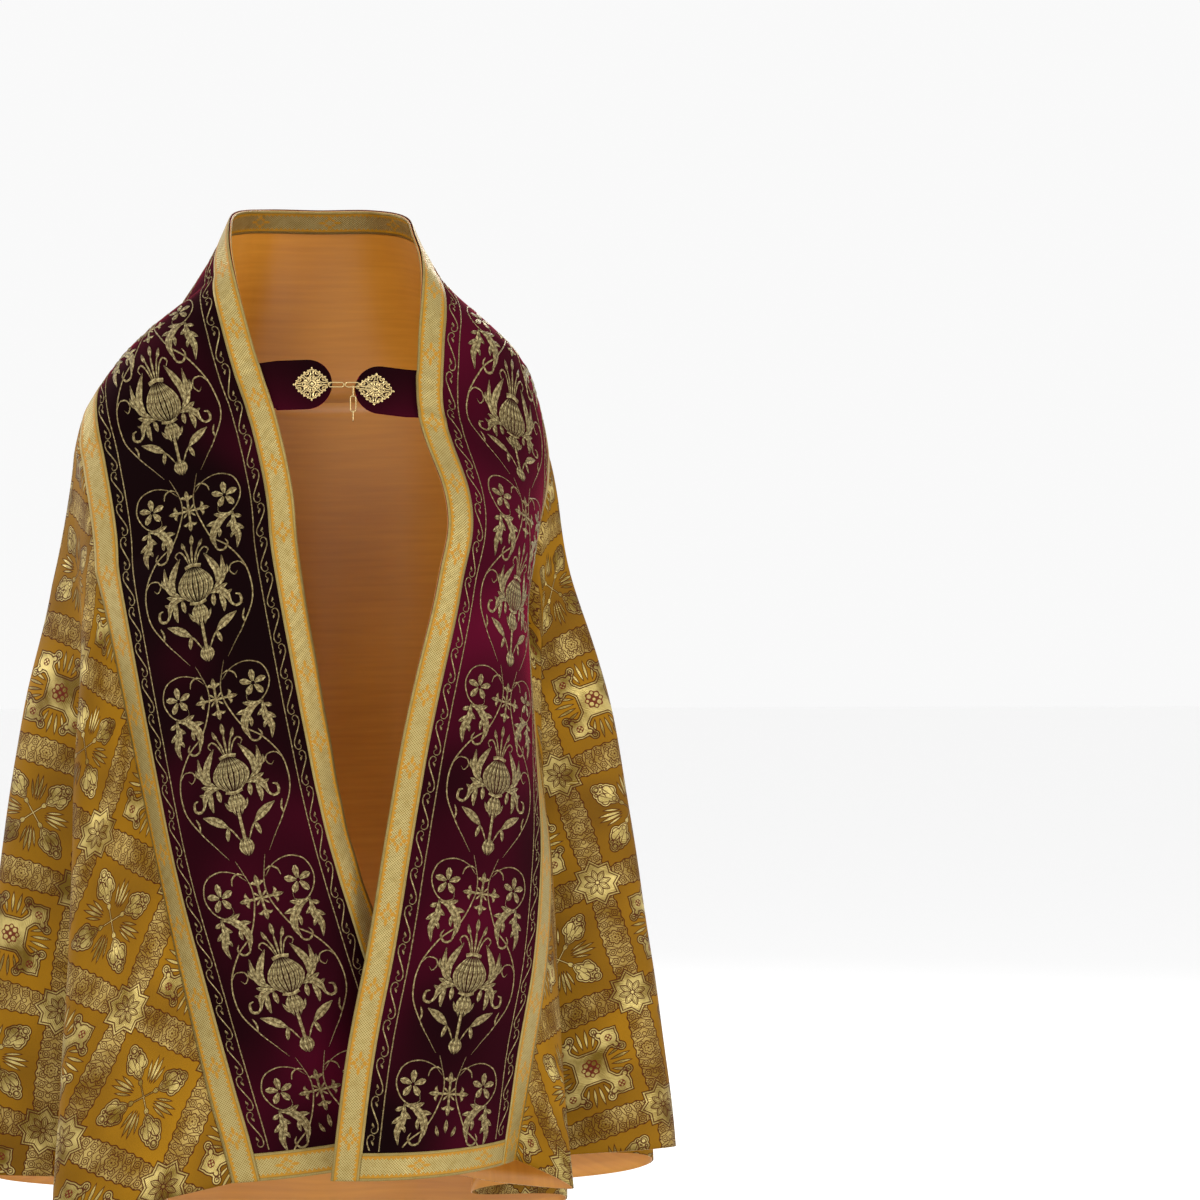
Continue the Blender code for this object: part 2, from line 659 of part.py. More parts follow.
def hood_wall(name, kind, x, y, low, high):
    x, y, cells = weld([(x, y)])
    heights = [hood_layer(x, y, np.full(x.shape, height)) for height in (low, high)]
    return solid_between(name, kind, *heights, cells)


def make_fringe():
    """A backing strip along the hood galloon's outer edge, with a strand every pitch."""
    edges = [hood_outline(HOOD_GALLOON + FRINGE_GAP + grow) for grow in (0.0, FRINGE_STRIP)]
    x, y, normal = edges[1]
    run = np.concatenate([[0], np.cumsum(np.hypot(np.diff(x), np.diff(y)))])
    count = round(run[-1] / FRINGE_PITCH)
    pitch = run[-1] / count
    half = 0.5 * FRINGE_STRAND
    middles = (np.arange(count) + 0.5) * pitch
    roots = np.stack([middles - half, middles + half], axis=-1).ravel()
    stations = np.concatenate([[0], roots, [run[-1]]])

    def along(values):
        return np.stack([np.interp(stations, run, column) for column in values.T], axis=-1)

    tips = np.stack([x, y], axis=-1) + strand_hang(normal)
    rails = {}
    for height in (0.0, FRINGE_THICK):
        for place, (rail_x, rail_y) in (("near", edges[0][:2]), ("far", edges[1][:2]), ("tip", tips.T)):
            rails[place, height] = along(hood_layer(rail_x, rail_y, np.full(len(x), height)))
    form = bmesh.new()
    low, high = (
        [[form.verts.new(point) for point in rails[place, height]] for place in ("near", "far")]
        for height in (0.0, FRINGE_THICK)
    )
    last = len(stations) - 1
    for k in range(last):
        form.faces.new((high[0][k], high[0][k + 1], high[1][k + 1], high[1][k]))
        form.faces.new((low[0][k], low[1][k], low[1][k + 1], low[0][k + 1]))
        form.faces.new((low[0][k], low[0][k + 1], high[0][k + 1], high[0][k]))
        root = (high[1][k], high[1][k + 1], low[1][k + 1], low[1][k])
        if k % 2 == 0:
            form.faces.new(root)
            continue
        corners = ((k, FRINGE_THICK), (k + 1, FRINGE_THICK), (k + 1, 0.0), (k, 0.0))
        tip = [form.verts.new(rails["tip", height][station]) for station, height in corners]
        for i in range(4):
            j = (i + 1) % 4
            form.faces.new((root[i], root[j], tip[j], tip[i]))
        form.faces.new(tip)
    for k in (0, last):
        form.faces.new((low[0][k], low[1][k], high[1][k], high[0][k]))
    return object_from("hood_fringe", "fringe", form)


def strand_hang(normal):
    """Flat way from a strand's root to its tip: outwards, and more so downwards."""
    hang = normal + (0.0, FRINGE_HANG)
    return unit(hang) * FRINGE_LENGTH


class Tab:
    """One tab of the clasp: tucked behind the front edge, then flat to a round tip."""

    def __init__(self, side, tip):
        levels = [DROP_LEVELS[i] for i in TAB_LEVELS]
        x = np.array([side * (SHOULDER + level * (RADIUS - SHOULDER)) for level in levels])
        height = -TAB_SEAT - TAB_THICK / 2
        self.edge = layer(x, np.zeros(3), np.full(3, height))
        self.edge_normal = outward(x, np.zeros(3))
        braid_edge = layer(x, np.full(3, GALLOON), np.full(3, height))
        self.tuck = self.edge + (braid_edge - self.edge) * TAB_TUCK / GALLOON
        self.tuck_normal = outward(x, np.full(3, TAB_TUCK))
        rise = self.edge[0] - self.edge[2]
        along = np.array(tip) - self.edge[1]
        self.length = np.linalg.norm(along)
        self.along = along / self.length
        rise = rise - self.along * np.dot(rise, self.along)
        self.half = 0.5 * TAB_HEIGHT
        self.up = unit(rise)
        front = np.cross(self.along, self.up)
        self.front = front if front[1] < 0 else -front
        self.tip = np.array(tip)

    def place(self, back_from_tip, up, forward):
        """A point on the flat part, measured back from the tip, up, and forward of its middle."""
        return self.tip - self.along * back_from_tip + self.up * up + self.front * forward

    def make(self, name):
        across = np.array([1, 0.5, 0, -0.5, -1])
        columns = []
        for points, normals in ((self.tuck, self.tuck_normal), (self.edge, self.edge_normal)):
            spread = [np.interp(-across, (-1, 0, 1), points[:, i]) for i in range(3)]
            facing = [np.interp(-across, (-1, 0, 1), normals[:, i]) for i in range(3)]
            columns.append((np.stack(spread, axis=-1), unit(np.stack(facing, axis=-1))))
        rounding = self.half
        flat = self.length - rounding
        middle_back = rounding + TAB_FLAT_STEP * (flat - TAB_BEND)
        for back in (self.length - TAB_BEND, middle_back, *rounding_steps(rounding)):
            half = self.half * math.sqrt(max(0.0, 1 - max(0.0, (rounding - back) / rounding) ** 2))
            points = np.array([self.place(back, v * half, 0) for v in across])
            columns.append((points, np.repeat(self.front[None, :], len(across), axis=0)))
        rows = len(across)
        middle = np.concatenate([points for points, _ in columns])
        facing = np.concatenate([normals for _, normals in columns]) * TAB_THICK / 2
        cells = []
        for c in range(len(columns) - 1):
            for r in range(rows - 1):
                a, b = c * rows + r, (c + 1) * rows + r
                cells += [(a, b, b + 1), (a, b + 1, a + 1)]
        return solid_between(name, "velvet", middle - facing, middle + facing, cells)


def rounding_steps(radius):
    """Distances back from the tip for the round end, close together near the tip."""
    return [radius * (1 - math.sin(math.radians(angle))) for angle in TAB_ROUND_ANGLES]


def make_plate(name, tab):
    """A pierced plate on a tab: a lobed outline round a hub, with a ring of petal-shaped holes."""
    sectors = PLATE_PETALS * PLATE_STEPS
    edge_ring = len(PLATE_RINGS) - 1
    points, cells = [], []
    back = PLATE_LENGTH / 2 + PLATE_FROM_TIP
    for ring, share in enumerate(PLATE_RINGS):
        for k in range(sectors):
            turn = 2 * math.pi * k / sectors
            lobed = 1 + (PLATE_LOBE * math.cos(PLATE_PETALS * turn) if ring == edge_ring else 0)
            across = back + 0.5 * PLATE_LENGTH * share * lobed * math.cos(turn)
            up = 0.5 * PLATE_HEIGHT * share * lobed * math.sin(turn)
            points.append((across, up))
            if ring == 0:
                break
    for k in range(sectors):
        m = (k + 1) % sectors
        cells.append((0, 1 + k, 1 + m))
    for ring in range(1, edge_ring):
        for k in range(sectors):
            m = (k + 1) % sectors
            in_hole = k % PLATE_STEPS != 0
            if ring == PLATE_HOLE_RING and in_hole:
                continue
            a, b = 1 + (ring - 1) * sectors + k, 1 + (ring - 1) * sectors + m
            cells += [(a, a + sectors, b + sectors), (a, b + sectors, b)]
    low = TAB_THICK / 2 + GAP
    under = [tab.place(across, up, low) for across, up in points]
    over = [tab.place(across, up, low + PLATE_THICK) for across, up in points]
    return solid_between(name, "metal", under, over, cells)


def make_link(name, centre, long_way, cross_way, half_length, half_width):
    """A closed wire loop with round ends. Its sizes run to the middle of the wire."""
    straight = half_length - half_width
    long_way, cross_way = Vector(long_way), Vector(cross_way)
    facing = long_way.cross(cross_way)
    form = bmesh.new()
    rings = []
    for k in range(LINK_STEPS):
        turn = 2 * math.pi * (k + 0.5) / LINK_STEPS
        shift = straight if math.cos(turn) > 0 else -straight
        out = long_way * math.cos(turn) + cross_way * math.sin(turn)
        middle = Vector(centre) + long_way * shift + out * half_width
        section = []
        for m in range(LINK_SIDES):
            angle = 2 * math.pi * m / LINK_SIDES
            reach = (out * math.cos(angle) + facing * math.sin(angle)) * WIRE
            section.append(form.verts.new(middle + reach))
        rings.append(section)
    for k in range(LINK_STEPS):
        near, far = rings[k], rings[(k + 1) % LINK_STEPS]
        for m in range(LINK_SIDES):
            n = (m + 1) % LINK_SIDES
            form.faces.new((near[m], near[n], far[n], far[m]))
    return object_from(name, "metal", form)


def make_clasp():
    """Two tabs with their plates, the hook and ring between them, and the tail that hangs free."""
    right = Tab(-1, RIGHT_TIP)
    left = Tab(1, LEFT_TIP)
    right.make("clasp_tab_right")
    left.make("clasp_tab_left")
    make_plate("clasp_plate_right", right)
    make_plate("clasp_plate_left", left)
    across, up, forward = (1, 0, 0), (0, 0, 1), (0, 1, 0)
    for name, start, end in (
        ("clasp_hook", HOOK_START, HOOK_END),
        ("clasp_ring", HOOK_END + GAP, RING_END),
    ):
        middle = (0.5 * (start + end), CHAIN_Y, CHAIN_Z)
        make_link(name, middle, across, up, 0.5 * (end - start) - WIRE, CHAIN_HALF_HEIGHT)
    # Each link of the tail hangs in the one above it, turned a quarter, with the seam gap between wires.
    bearing = 2 * WIRE + GAP
    top = CHAIN_Z - CHAIN_HALF_HEIGHT + bearing
    for name, half_length, half_width, crosswise in (
        ("tail_link_upper", TAIL_UPPER, TAIL_NARROW, forward),
        ("tail_link_lower", TAIL_LOWER, TAIL_WIDE, across),
        ("tail_drop", TAIL_DROP, TAIL_NARROW, forward),
    ):
        middle = (TAIL_X, CHAIN_Y, top - half_length)
        make_link(name, middle, up, crosswise, half_length, half_width)
        top = top - 2 * half_length + bearing


clear_scene()
make_lining()
make_body()
make_orphrey()
make_hood()
make_clasp()
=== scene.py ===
"""The finished look of a cope: brocade, satin lining, embroidered velvet, galloons, hood and clasp.

Metres, +Z up, the wearer faces -Y. A cloth point has flat coordinates (x, y) on the half circle of the
cut: x runs along the straight edge from the centre back, negative on the wearer's right, and y runs away
from it. drape() turns them into the worn shape, and UV maps hold them, so patterns follow the cloth.
"""

import json
import math

import bmesh
import bpy
import numpy as np
from mathutils import Matrix, Vector

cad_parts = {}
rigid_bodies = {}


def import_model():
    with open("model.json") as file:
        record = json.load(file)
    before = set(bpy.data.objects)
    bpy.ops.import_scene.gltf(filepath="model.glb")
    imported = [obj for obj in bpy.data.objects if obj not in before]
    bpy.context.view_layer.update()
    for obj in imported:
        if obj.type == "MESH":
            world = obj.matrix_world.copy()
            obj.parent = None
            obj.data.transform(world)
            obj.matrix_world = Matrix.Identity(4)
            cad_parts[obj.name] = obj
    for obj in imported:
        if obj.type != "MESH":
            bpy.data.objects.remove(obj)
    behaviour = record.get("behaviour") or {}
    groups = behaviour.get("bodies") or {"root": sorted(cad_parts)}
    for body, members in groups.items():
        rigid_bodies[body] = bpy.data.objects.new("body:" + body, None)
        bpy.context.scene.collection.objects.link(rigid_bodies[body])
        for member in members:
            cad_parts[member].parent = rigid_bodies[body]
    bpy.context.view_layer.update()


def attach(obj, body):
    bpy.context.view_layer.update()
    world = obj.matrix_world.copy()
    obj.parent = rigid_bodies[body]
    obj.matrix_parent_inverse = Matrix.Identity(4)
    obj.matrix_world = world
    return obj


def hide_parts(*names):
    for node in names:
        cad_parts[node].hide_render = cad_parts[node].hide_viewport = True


bl_info = {
    "name": "Cope",
    "version": (1, 0, 0),
    "blender": (4, 5, 0),
    "location": "3D View > Sidebar > Cope",
    "description": "Lays the cloth, braid, embroidery and clasp of a cope over its solids",
    "category": "Add Mesh",
}

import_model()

MM = 0.001
CM = 0.01
WELD = 0.002 * MM
LINING_WELD = 0.2 * MM
SMOOTH_BELOW = math.radians(60)
CLOTH_BODY = "cope"
TAIL_BODY = "tail"
SIDES = ((-1, "right"), (1, "left"))

# The cut, as the solids have it
RADIUS = 1.350
BAND = 0.250
SHOULDER = 0.350
GALLOON = 0.032

# Heights over the cloth's inner face
LINING_LOW = 0.1 * MM
LINING_HIGH = 0.9 * MM
BROCADE_LOW = 1.6 * MM
BROCADE_HIGH = 2.8 * MM
VELVET_LOW = 1.4 * MM
VELVET_HIGH = 2.9 * MM
BRAID_LOW = 3.0 * MM
BRAID_HIGH = 3.9 * MM
NECK_BRAID_FACE = -1.2 * MM
NECK_BRAID_SHARE = 0.75 * SHOULDER / RADIUS  # it stops three quarters of the way to the shoulders

# Cross sections of the orphrey, from hem to hem
RIGHT_BAND = (
    # inner_x, inner_y, inner_z, outer_x, outer_y, outer_z
    (0.1463, -0.235, -1.0725, -0.0939, -0.265, -1.128),
    (0.1179, -0.228, -0.968, -0.1230, -0.248, -1.023),
    (0.0671, -0.222, -0.821, -0.1574, -0.222, -0.877),
    (0.0302, -0.215, -0.706, -0.1830, -0.200, -0.760),
    (0.0058, -0.190, -0.576, -0.2117, -0.160, -0.632),
    (-0.0235, -0.158, -0.400, -0.2494, -0.115, -0.458),
    (-0.0319, -0.138, -0.310, -0.2740, -0.082, -0.370),
    (-0.0523, -0.118, -0.218, -0.2860, -0.045, -0.285),
    (-0.0799, -0.100, -0.135, -0.2780, 0.000, -0.207),
    (-0.1030, -0.066, -0.036, -0.2320, 0.084, -0.186),
    (-0.1070, -0.026, 0.010, -0.1820, 0.122, -0.184),
    (-0.1000, 0.030, 0.034, -0.1220, 0.144, -0.187),
    (-0.0620, 0.078, 0.042, -0.0620, 0.153, -0.190),
)
CENTRE_BAND = ((0.0, 0.085, 0.042, 0.0, 0.155, -0.191),)
LEFT_BAND = (
    (0.0620, 0.078, 0.042, 0.0620, 0.153, -0.190),
    (0.1020, 0.030, 0.030, 0.1220, 0.144, -0.189),
    (0.1120, -0.020, 0.004, 0.1800, 0.122, -0.193),
    (0.1210, -0.065, -0.042, 0.2260, 0.084, -0.203),
    (0.1165, -0.105, -0.142, 0.2660, 0.005, -0.236),
    (0.1172, -0.130, -0.226, 0.2740, 0.005, -0.302),
    (0.1474, -0.185, -0.329, 0.2450, 0.000, -0.400),
    (0.1362, -0.205, -0.416, 0.2460, -0.010, -0.482),
    (0.0996, -0.225, -0.5745, 0.2580, -0.070, -0.628),
    (0.0762, -0.240, -0.7045, 0.2705, -0.120, -0.748),
    (0.0552, -0.265, -0.830, 0.2646, -0.160, -0.864),
    (0.0297, -0.287, -0.959, 0.2450, -0.185, -0.985),
    (0.0125, -0.305, -1.0977, 0.2208, -0.205, -1.112),
)
BAND_ROWS = np.array(RIGHT_BAND + CENTRE_BAND + LEFT_BAND)
ROWS_TO_SHOULDER = 5
FULLEST_BOW = 0.86
FLATTEST_BOW = 0.992

# Fold lines of the cloth below the orphrey, at mid height and at the hem, from front to front
MID_LEVEL = 0.42
FOLD_START = 0.40
FAN_BULGE = 0.16
FOLD_ROUND = 0.85
FOLDS = (
    # mid_x, mid_y, hem_x, hem_y, hem_z
    (-0.278, -0.150, -0.298, -0.268, -1.145),
    (-0.272, -0.084, -0.180, -0.112, -1.130),
    (-0.356, -0.022, -0.414, -0.046, -1.125),
    (-0.282, 0.042, -0.205, 0.052, -1.150),
    (-0.352, 0.106, -0.404, 0.158, -1.160),
    (-0.252, 0.140, -0.195, 0.166, -1.190),
    (-0.300, 0.200, -0.318, 0.292, -1.225),
    (-0.206, 0.214, -0.205, 0.270, -1.252),
    (-0.104, 0.242, -0.112, 0.332, -1.270),
    (0.000, 0.232, 0.000, 0.308, -1.276),
    (0.104, 0.242, 0.112, 0.332, -1.270),
    (0.206, 0.214, 0.205, 0.268, -1.250),
    (0.300, 0.200, 0.318, 0.290, -1.216),
    (0.254, 0.142, 0.195, 0.166, -1.185),
    (0.354, 0.114, 0.418, 0.164, -1.150),
    (0.276, 0.080, 0.200, 0.072, -1.130),
    (0.360, 0.038, 0.428, -0.024, -1.105),
    (0.254, -0.002, 0.160, -0.070, -1.120),
    (0.266, -0.028, 0.292, -0.210, -1.125),
)
SIDE_FOLDS = 7

# Hood
HOOD_TOP = BAND + 0.6 * MM
HOOD_HALF_WIDTH = 0.262
HOOD_LENGTH = 0.462
HOOD_CORNER = 0.110
HOOD_GALLOON = 0.034
HOOD_CLOTH = 2.0 * MM
HOOD_LIFT_TOP = 0.5 * MM
HOOD_LIFT_TOP_SIDE = 3.5 * MM
HOOD_LIFT = 9.0 * MM
HOOD_FREE = 0.160
HOOD_EVEN = 0.030
FRINGE_HANG = 1.1
BODY_CLOTH_TOP = 3.1 * MM  # the solids' brocade ends at this height

STRAND_HALF = 1.25 * MM
STRAND_SIDES = 4
STRAND_STEPS = 12
STRAND_TWIST = 9.0
SEAM = 0.3 * MM

# Clasp
TAB_HEIGHT = 0.060
TAB_THICK = 2.4 * MM
TAB_SEAT = 0.8 * MM
RIGHT_TIP = (0.0142, -0.124, -0.1830)
LEFT_TIP = (0.0414, -0.124, -0.1870)
TAB_LEVELS = (0.025, 0.055, 0.085)
TAB_TUCK = 0.009
TAB_PULLS = (0.383, 0.432)  # flat x of the short folds that a tab pulls in the edge
PLATE_LENGTH = 0.046
PLATE_HEIGHT = 0.041
PLATE_FROM_TIP = 0.001
PLATE_PETALS = 8
PLATE_PRONGS = 24
WIRE = 0.75 * MM
CHAIN_Y = -0.12815
CHAIN_Z = -0.1845
CHAIN_HALF_HEIGHT = 2.6 * MM
HOOK_START = 0.0095
HOOK_END = 0.0290
RING_END = 0.0470
TAIL_X = 0.0390
TAIL_LINKS = (
    # name, half length, half width, the way it is wide
    ("tail_link_upper", 7.0 * MM, 1.8 * MM, "y"),
    ("tail_link_lower", 9.5 * MM, 3.2 * MM, "x"),
    ("tail_drop", 6.5 * MM, 1.8 * MM, "y"),
)


def unit(vectors):
    return vectors / np.linalg.norm(vectors, axis=-1, keepdims=True)


def curve_through(rows, u):
    """Points of a smooth curve through the rows; u counts rows and may be an array."""
    last = len(rows) - 1
    i = np.clip(np.floor(u).astype(int), 0, last - 1)
    padded = np.vstack([2 * rows[:1] - rows[1:2], rows, 2 * rows[-1:] - rows[-2:-1]])
    before, start, end, after = (padded[i + k] for k in range(4))
    s = (u - i)[..., None]
    return 0.5 * (
        2 * start
        + (end - before) * s
        + (2 * before - 5 * start + 4 * end - after) * s**2
        + (3 * start - before - 3 * end + after) * s**3
    )


def round_slope(one, other):
    """Slope where two chords meet: across the fold, and as long as the shorter chord."""
    shorter = np.minimum(np.linalg.norm(one, axis=-1), np.linalg.norm(other, axis=-1))
    across = one + other
    length = np.linalg.norm(across, axis=-1) + 1e-9
    return across * (FOLD_ROUND * shorter / length)[..., None]


def bow_angle(share):
    """Half the angle of an arc whose chord is this share of its length."""
    angle = np.sqrt(6 * (1 - share))
    for _ in range(8):
        angle = angle - (np.sin(angle) - share * angle) / (np.cos(angle) - share)
    return angle


class Band:
    """The orphrey's strip: at each flat x an arc as long as the band is wide, from edge to edge."""

    samples = 520

    def __init__(self):
        u = np.linspace(0, len(BAND_ROWS) - 1, self.samples)
        both = curve_through(BAND_ROWS, u)
        inner, outer = both[:, :3], both[:, 3:]
        chord = outer - inner
        length = np.linalg.norm(chord, axis=1, keepdims=True)
        chord = chord / length
        along = np.gradient(inner + outer, axis=0)
        self.inner = inner
        self.across = chord
        self.outward = unit(np.cross(along, chord))
        self.span = np.clip(length / BAND, None, FLATTEST_BOW)[:, 0]
        self.bow = bow_angle(np.clip(self.span, FULLEST_BOW, None))
        run = np.concatenate([[0], np.cumsum(np.linalg.norm(np.diff(inner, axis=0), axis=1))])
        middle = len(RIGHT_BAND)
        rows = (0, middle - ROWS_TO_SHOULDER, middle, middle + ROWS_TO_SHOULDER, len(BAND_ROWS) - 1)
        marks = np.interp(rows, u, run)
        self.flat_x = np.interp(run, marks, (-RADIUS, -SHOULDER, 0, SHOULDER, RADIUS))

    def at(self, x, values):
        if values.ndim == 1:
            return np.interp(x, self.flat_x, values)
        return np.stack([np.interp(x, self.flat_x, column) for column in values.T], axis=-1)

    def point(self, x, y):
        bow = self.at(x, self.bow)
        reach = self.at(x, self.span) * BAND
        turn = bow * (2 * y / BAND - 1)
        along_chord = 0.5 * reach * (1 + np.sin(turn) / np.sin(bow))
        rise = 0.5 * reach * (np.cos(turn) - np.cos(bow)) / np.sin(bow)
        across = self.at(x, self.across) * along_chord[..., None]
        return self.at(x, self.inner) + across + self.at(x, self.outward) * rise[..., None]


def hem_drop(angle):
    """Cloth from a shoulder point to the hem, along a ray at this angle to the straight edge."""
    toward = SHOULDER * np.cos(angle) + BAND * np.sin(angle)
    return np.sqrt(toward**2 + RADIUS**2 - SHOULDER**2 - BAND**2) - toward


class Body:
    """The cloth below the band. Its sections run through the fold lines at each level of drop."""

    samples = 60
    tangent_reach = 0.06

    def __init__(self, band):
        self.band = band
        self.last = len(FOLDS) + 1
        self.plan = np.array(FOLDS)
        self.shoulder_lines = (SIDE_FOLDS, self.last - SIDE_FOLDS)
        back = np.linspace(-SHOULDER, SHOULDER, self.shoulder_lines[1] - self.shoulder_lines[0] + 1)
        at_shoulder = np.full(SIDE_FOLDS, SHOULDER)
        self.line_x = np.concatenate([-at_shoulder, back, at_shoulder])
        self.tops = band.point(self.line_x, np.full(len(self.line_x), BAND))
        self.places = np.linspace(0, self.last, self.last * self.samples + 1)
        hem = self.section(self.places, np.ones(len(self.places)))
        run = np.concatenate([[0], np.cumsum(np.linalg.norm(np.diff(hem, axis=0), axis=1))])
        first, second = (run[line * self.samples] for line in self.shoulder_lines)
        self.round_hem = np.interp(run, (0, first, second, run[-1]), (0, 1, 2, 3))

    def edge_point(self, side, level, y):
        """The band at this level of drop, on the side where side is -1 or 1."""
        corner = np.sqrt(RADIUS**2 - BAND**2)
        x = side * (SHOULDER + level * (corner - SHOULDER))
        return self.band.point(x, np.full(np.shape(x), y))

    def line_point(self, line, level):
        """A fold line at a level of drop, its fold growing out of an even fan near the shoulder."""
        depth = np.clip(level / FOLD_START, 0, 1)
        depth = (depth * depth * (3 - 2 * depth))[..., None]
        here = self.full_line(line, level)
        for band_line, shoulder_line, side in (
            (0, SIDE_FOLDS, -1),
            (self.last, self.last - SIDE_FOLDS, 1),
        ):
            share = ((line - band_line) / (shoulder_line - band_line))[..., None]
            edge = self.full_line(np.full_like(line, band_line), level)
            shoulder = self.full_line(np.full_like(line, shoulder_line), level)
            fan = edge + (shoulder - edge) * share
            bulge = np.sin(math.pi * np.clip(share[..., 0], 0, 1))
            fan[..., 0] += side * FAN_BULGE * level * bulge
            here = np.where((share > 0) & (share < 1), fan + (here - fan) * depth, here)
        return here

    def full_line(self, line, level):
        """A fold line as the table gives it. Lines 0 and last are the band's outer edge."""
        k = np.clip(line, 1, self.last - 1)
        mid_x, mid_y, hem_x, hem_y, hem_z = np.moveaxis(self.plan[k - 1], -1, 0)
        top = self.tops[k]
        start = (level - MID_LEVEL) * (level - 1) / MID_LEVEL
        middle = level * (level - 1) / (MID_LEVEL * (MID_LEVEL - 1))
        end = level * (level - MID_LEVEL) / (1 - MID_LEVEL)
        found = np.stack(
            [
                start * top[..., 0] + middle * mid_x + end * hem_x,
                start * top[..., 1] + middle * mid_y + end * hem_y,
                (1 - level) * top[..., 2] + level * hem_z,
            ],
            axis=-1,
        )
        for number, y in ((-1, BAND - self.tangent_reach), (0, BAND)):
            for side, at in ((-1, number), (1, self.last - number)):
                if np.any(line == at):
                    edge = self.edge_point(side, level, y)
                    found = np.where((line == at)[..., None], edge, found)
        return found

    def section(self, place, level):
        """A point of the section at this level; place counts fold lines."""
        i = np.clip(np.floor(place).astype(int), 0, self.last - 1)
        before, start, end, after = (self.line_point(i + step, level) for step in (-1, 0, 1, 2))
        s = (place - i)[..., None]
        leave = round_slope(start - before, end - start)
        arrive = round_slope(end - start, after - end)
        rise = 3 * s**2 - 2 * s**3
        return start + (end - start) * rise + leave * (s - 1) ** 2 * s + arrive * (s - 1) * s**2

    def flat_to_place(self, x, y):
        """(place, level) of a flat point below the band."""
        beyond = np.abs(x) - SHOULDER
        below = np.maximum(y - BAND, 0)
        angle = np.arctan2(below, np.maximum(beyond, 1e-9))
        on_back = beyond <= 0
        share = np.where(on_back, 1.5 + 0.5 * x / SHOULDER, angle / (math.pi / 2))
        share = np.where(~on_back & (x > 0), 3 - share, share)
        back_x = np.clip(x, -SHOULDER, SHOULDER)
        whole = np.where(on_back, np.sqrt(RADIUS**2 - back_x**2) - BAND, hem_drop(angle))
        drop = np.where(on_back, below, np.hypot(beyond, below))
        return np.interp(share, self.round_hem, self.places), drop / whole

    def placed(self, place, level, x):
        """The worn point at a place and level. x is its flat x, for the seam across the back."""
        found = self.section(place, level)
        seam_x = np.clip(x, -SHOULDER, SHOULDER)
        seam = self.band.point(seam_x, np.full(np.shape(x), BAND))
        top = self.section(place, np.zeros(np.shape(x)))
        fade = np.where(np.abs(x) <= SHOULDER, (1 - level) ** 2, 0)
        return found + (seam - top) * fade[..., None]

    def flat_of(self, place, level):
        """The flat point at a place round the hem and a level of drop."""
        share = np.interp(place, self.places, self.round_hem)
        side = np.where(share < 1.5, -1, 1)
        angle = np.clip(np.where(share < 1.5, share, 3 - share), 0, 1) * math.pi / 2
        back_x = (np.clip(share, 1, 2) - 1.5) * 2 * SHOULDER
        on_back = (share >= 1) & (share <= 2)
        ray = level * hem_drop(angle)
        back_drop = level * (np.sqrt(RADIUS**2 - back_x**2) - BAND)
        x = np.where(on_back, back_x, side * (SHOULDER + ray * np.cos(angle)))
        return x, BAND + np.where(on_back, back_drop, ray * np.sin(angle))


STRIP = Band()
SKIRT = Body(STRIP)


def drape(x, y):
    """The worn place of flat points of the cut."""
    x, y = np.broadcast_arrays(np.asarray(x, float), np.asarray(y, float))
    on_band = STRIP.point(x, np.minimum(y, BAND))
    place, level = SKIRT.flat_to_place(x, y)
    return np.where((y > BAND)[..., None], SKIRT.placed(place, level, x), on_band)


def grid_normals(points):
    """Outward unit normals of a grid of worn points, rows of growing y and columns of growing x."""
    return unit(np.cross(np.gradient(points, axis=1), np.gradient(points, axis=0)) + 1e-12)


class Sheet:
    """A stretch of worn cloth held as a regular grid over flat x and y, to lay things on."""

    def __init__(self, x, y, points, normals):
        self.x, self.y = x, y
        self.values = np.concatenate([points, normals], axis=-1)

    def at(self, x, y, height):
        """Points over the cloth at flat points and heights."""
        i, s = self.cell(self.x, x)
        j, t = self.cell(self.y, y)
        near = self.values[j, i] * (1 - s) + self.values[j, i + 1] * s
        far = self.values[j + 1, i] * (1 - s) + self.values[j + 1, i + 1] * s
        both = near * (1 - t) + far * t
        return both[..., :3] + unit(both[..., 3:]) * np.asarray(height)[..., None]

    @staticmethod
    def cell(marks, value):
        step = (value - marks[0]) / (marks[1] - marks[0])
        i = np.clip(np.floor(step).astype(int), 0, len(marks) - 2)
        return i, (step - i)[..., None]


def ripple(x, y):
    """Small uneven ripples of soft cloth, as heights along its normal."""
    slow = np.sin(9.0 * x + 4.0 * y + 0.7) * np.sin(6.0 * y - 5.0 * x + 1.9)
    quick = np.sin(31.0 * x - 17.0 * y + 0.4) * np.sin(23.0 * y + 12.0 * x + 2.6)
    return 1.3 * MM * slow + 0.35 * MM * quick


def skirt_crease(x, y):
    """Ripples of the cloth below the band, none at the seam with the band or on the shoulders."""
    away = np.clip((y - BAND) / 0.12, 0, 1)
    from_shoulder = np.hypot(np.maximum(np.abs(x) - SHOULDER, 0), y - BAND)
    return ripple(x, y) * away * np.clip(from_shoulder / 0.35 - 0.1, 0, 1) * 1.8


def band_crease(x, y):
    """Ripples along the band's length, and the short folds that the clasp's tabs pull in the edge."""
    share = np.clip(y / BAND, 0, 1)
    fall = np.clip((np.abs(x) - 0.30) / 0.30, 0, 1)
    wave = 1.6 * MM * np.sin(21.0 * x + 3.2 * np.sin(5.0 * x)) * np.sin(math.pi * share) ** 2
    edge = 0.6 * MM * np.sin(74.0 * x + 2.0 * np.sin(13.0 * x)) * (1 - share) ** 6
    pulled = 0.0
    for middle in TAB_PULLS:
        near = np.exp(-(((np.abs(x) - middle - 0.20 * y) / 0.007) ** 2))
        pulled = pulled + 2.2 * MM * near * np.exp(-(((y - 0.012) / 0.035) ** 2))
    return (wave + edge) * fall + pulled


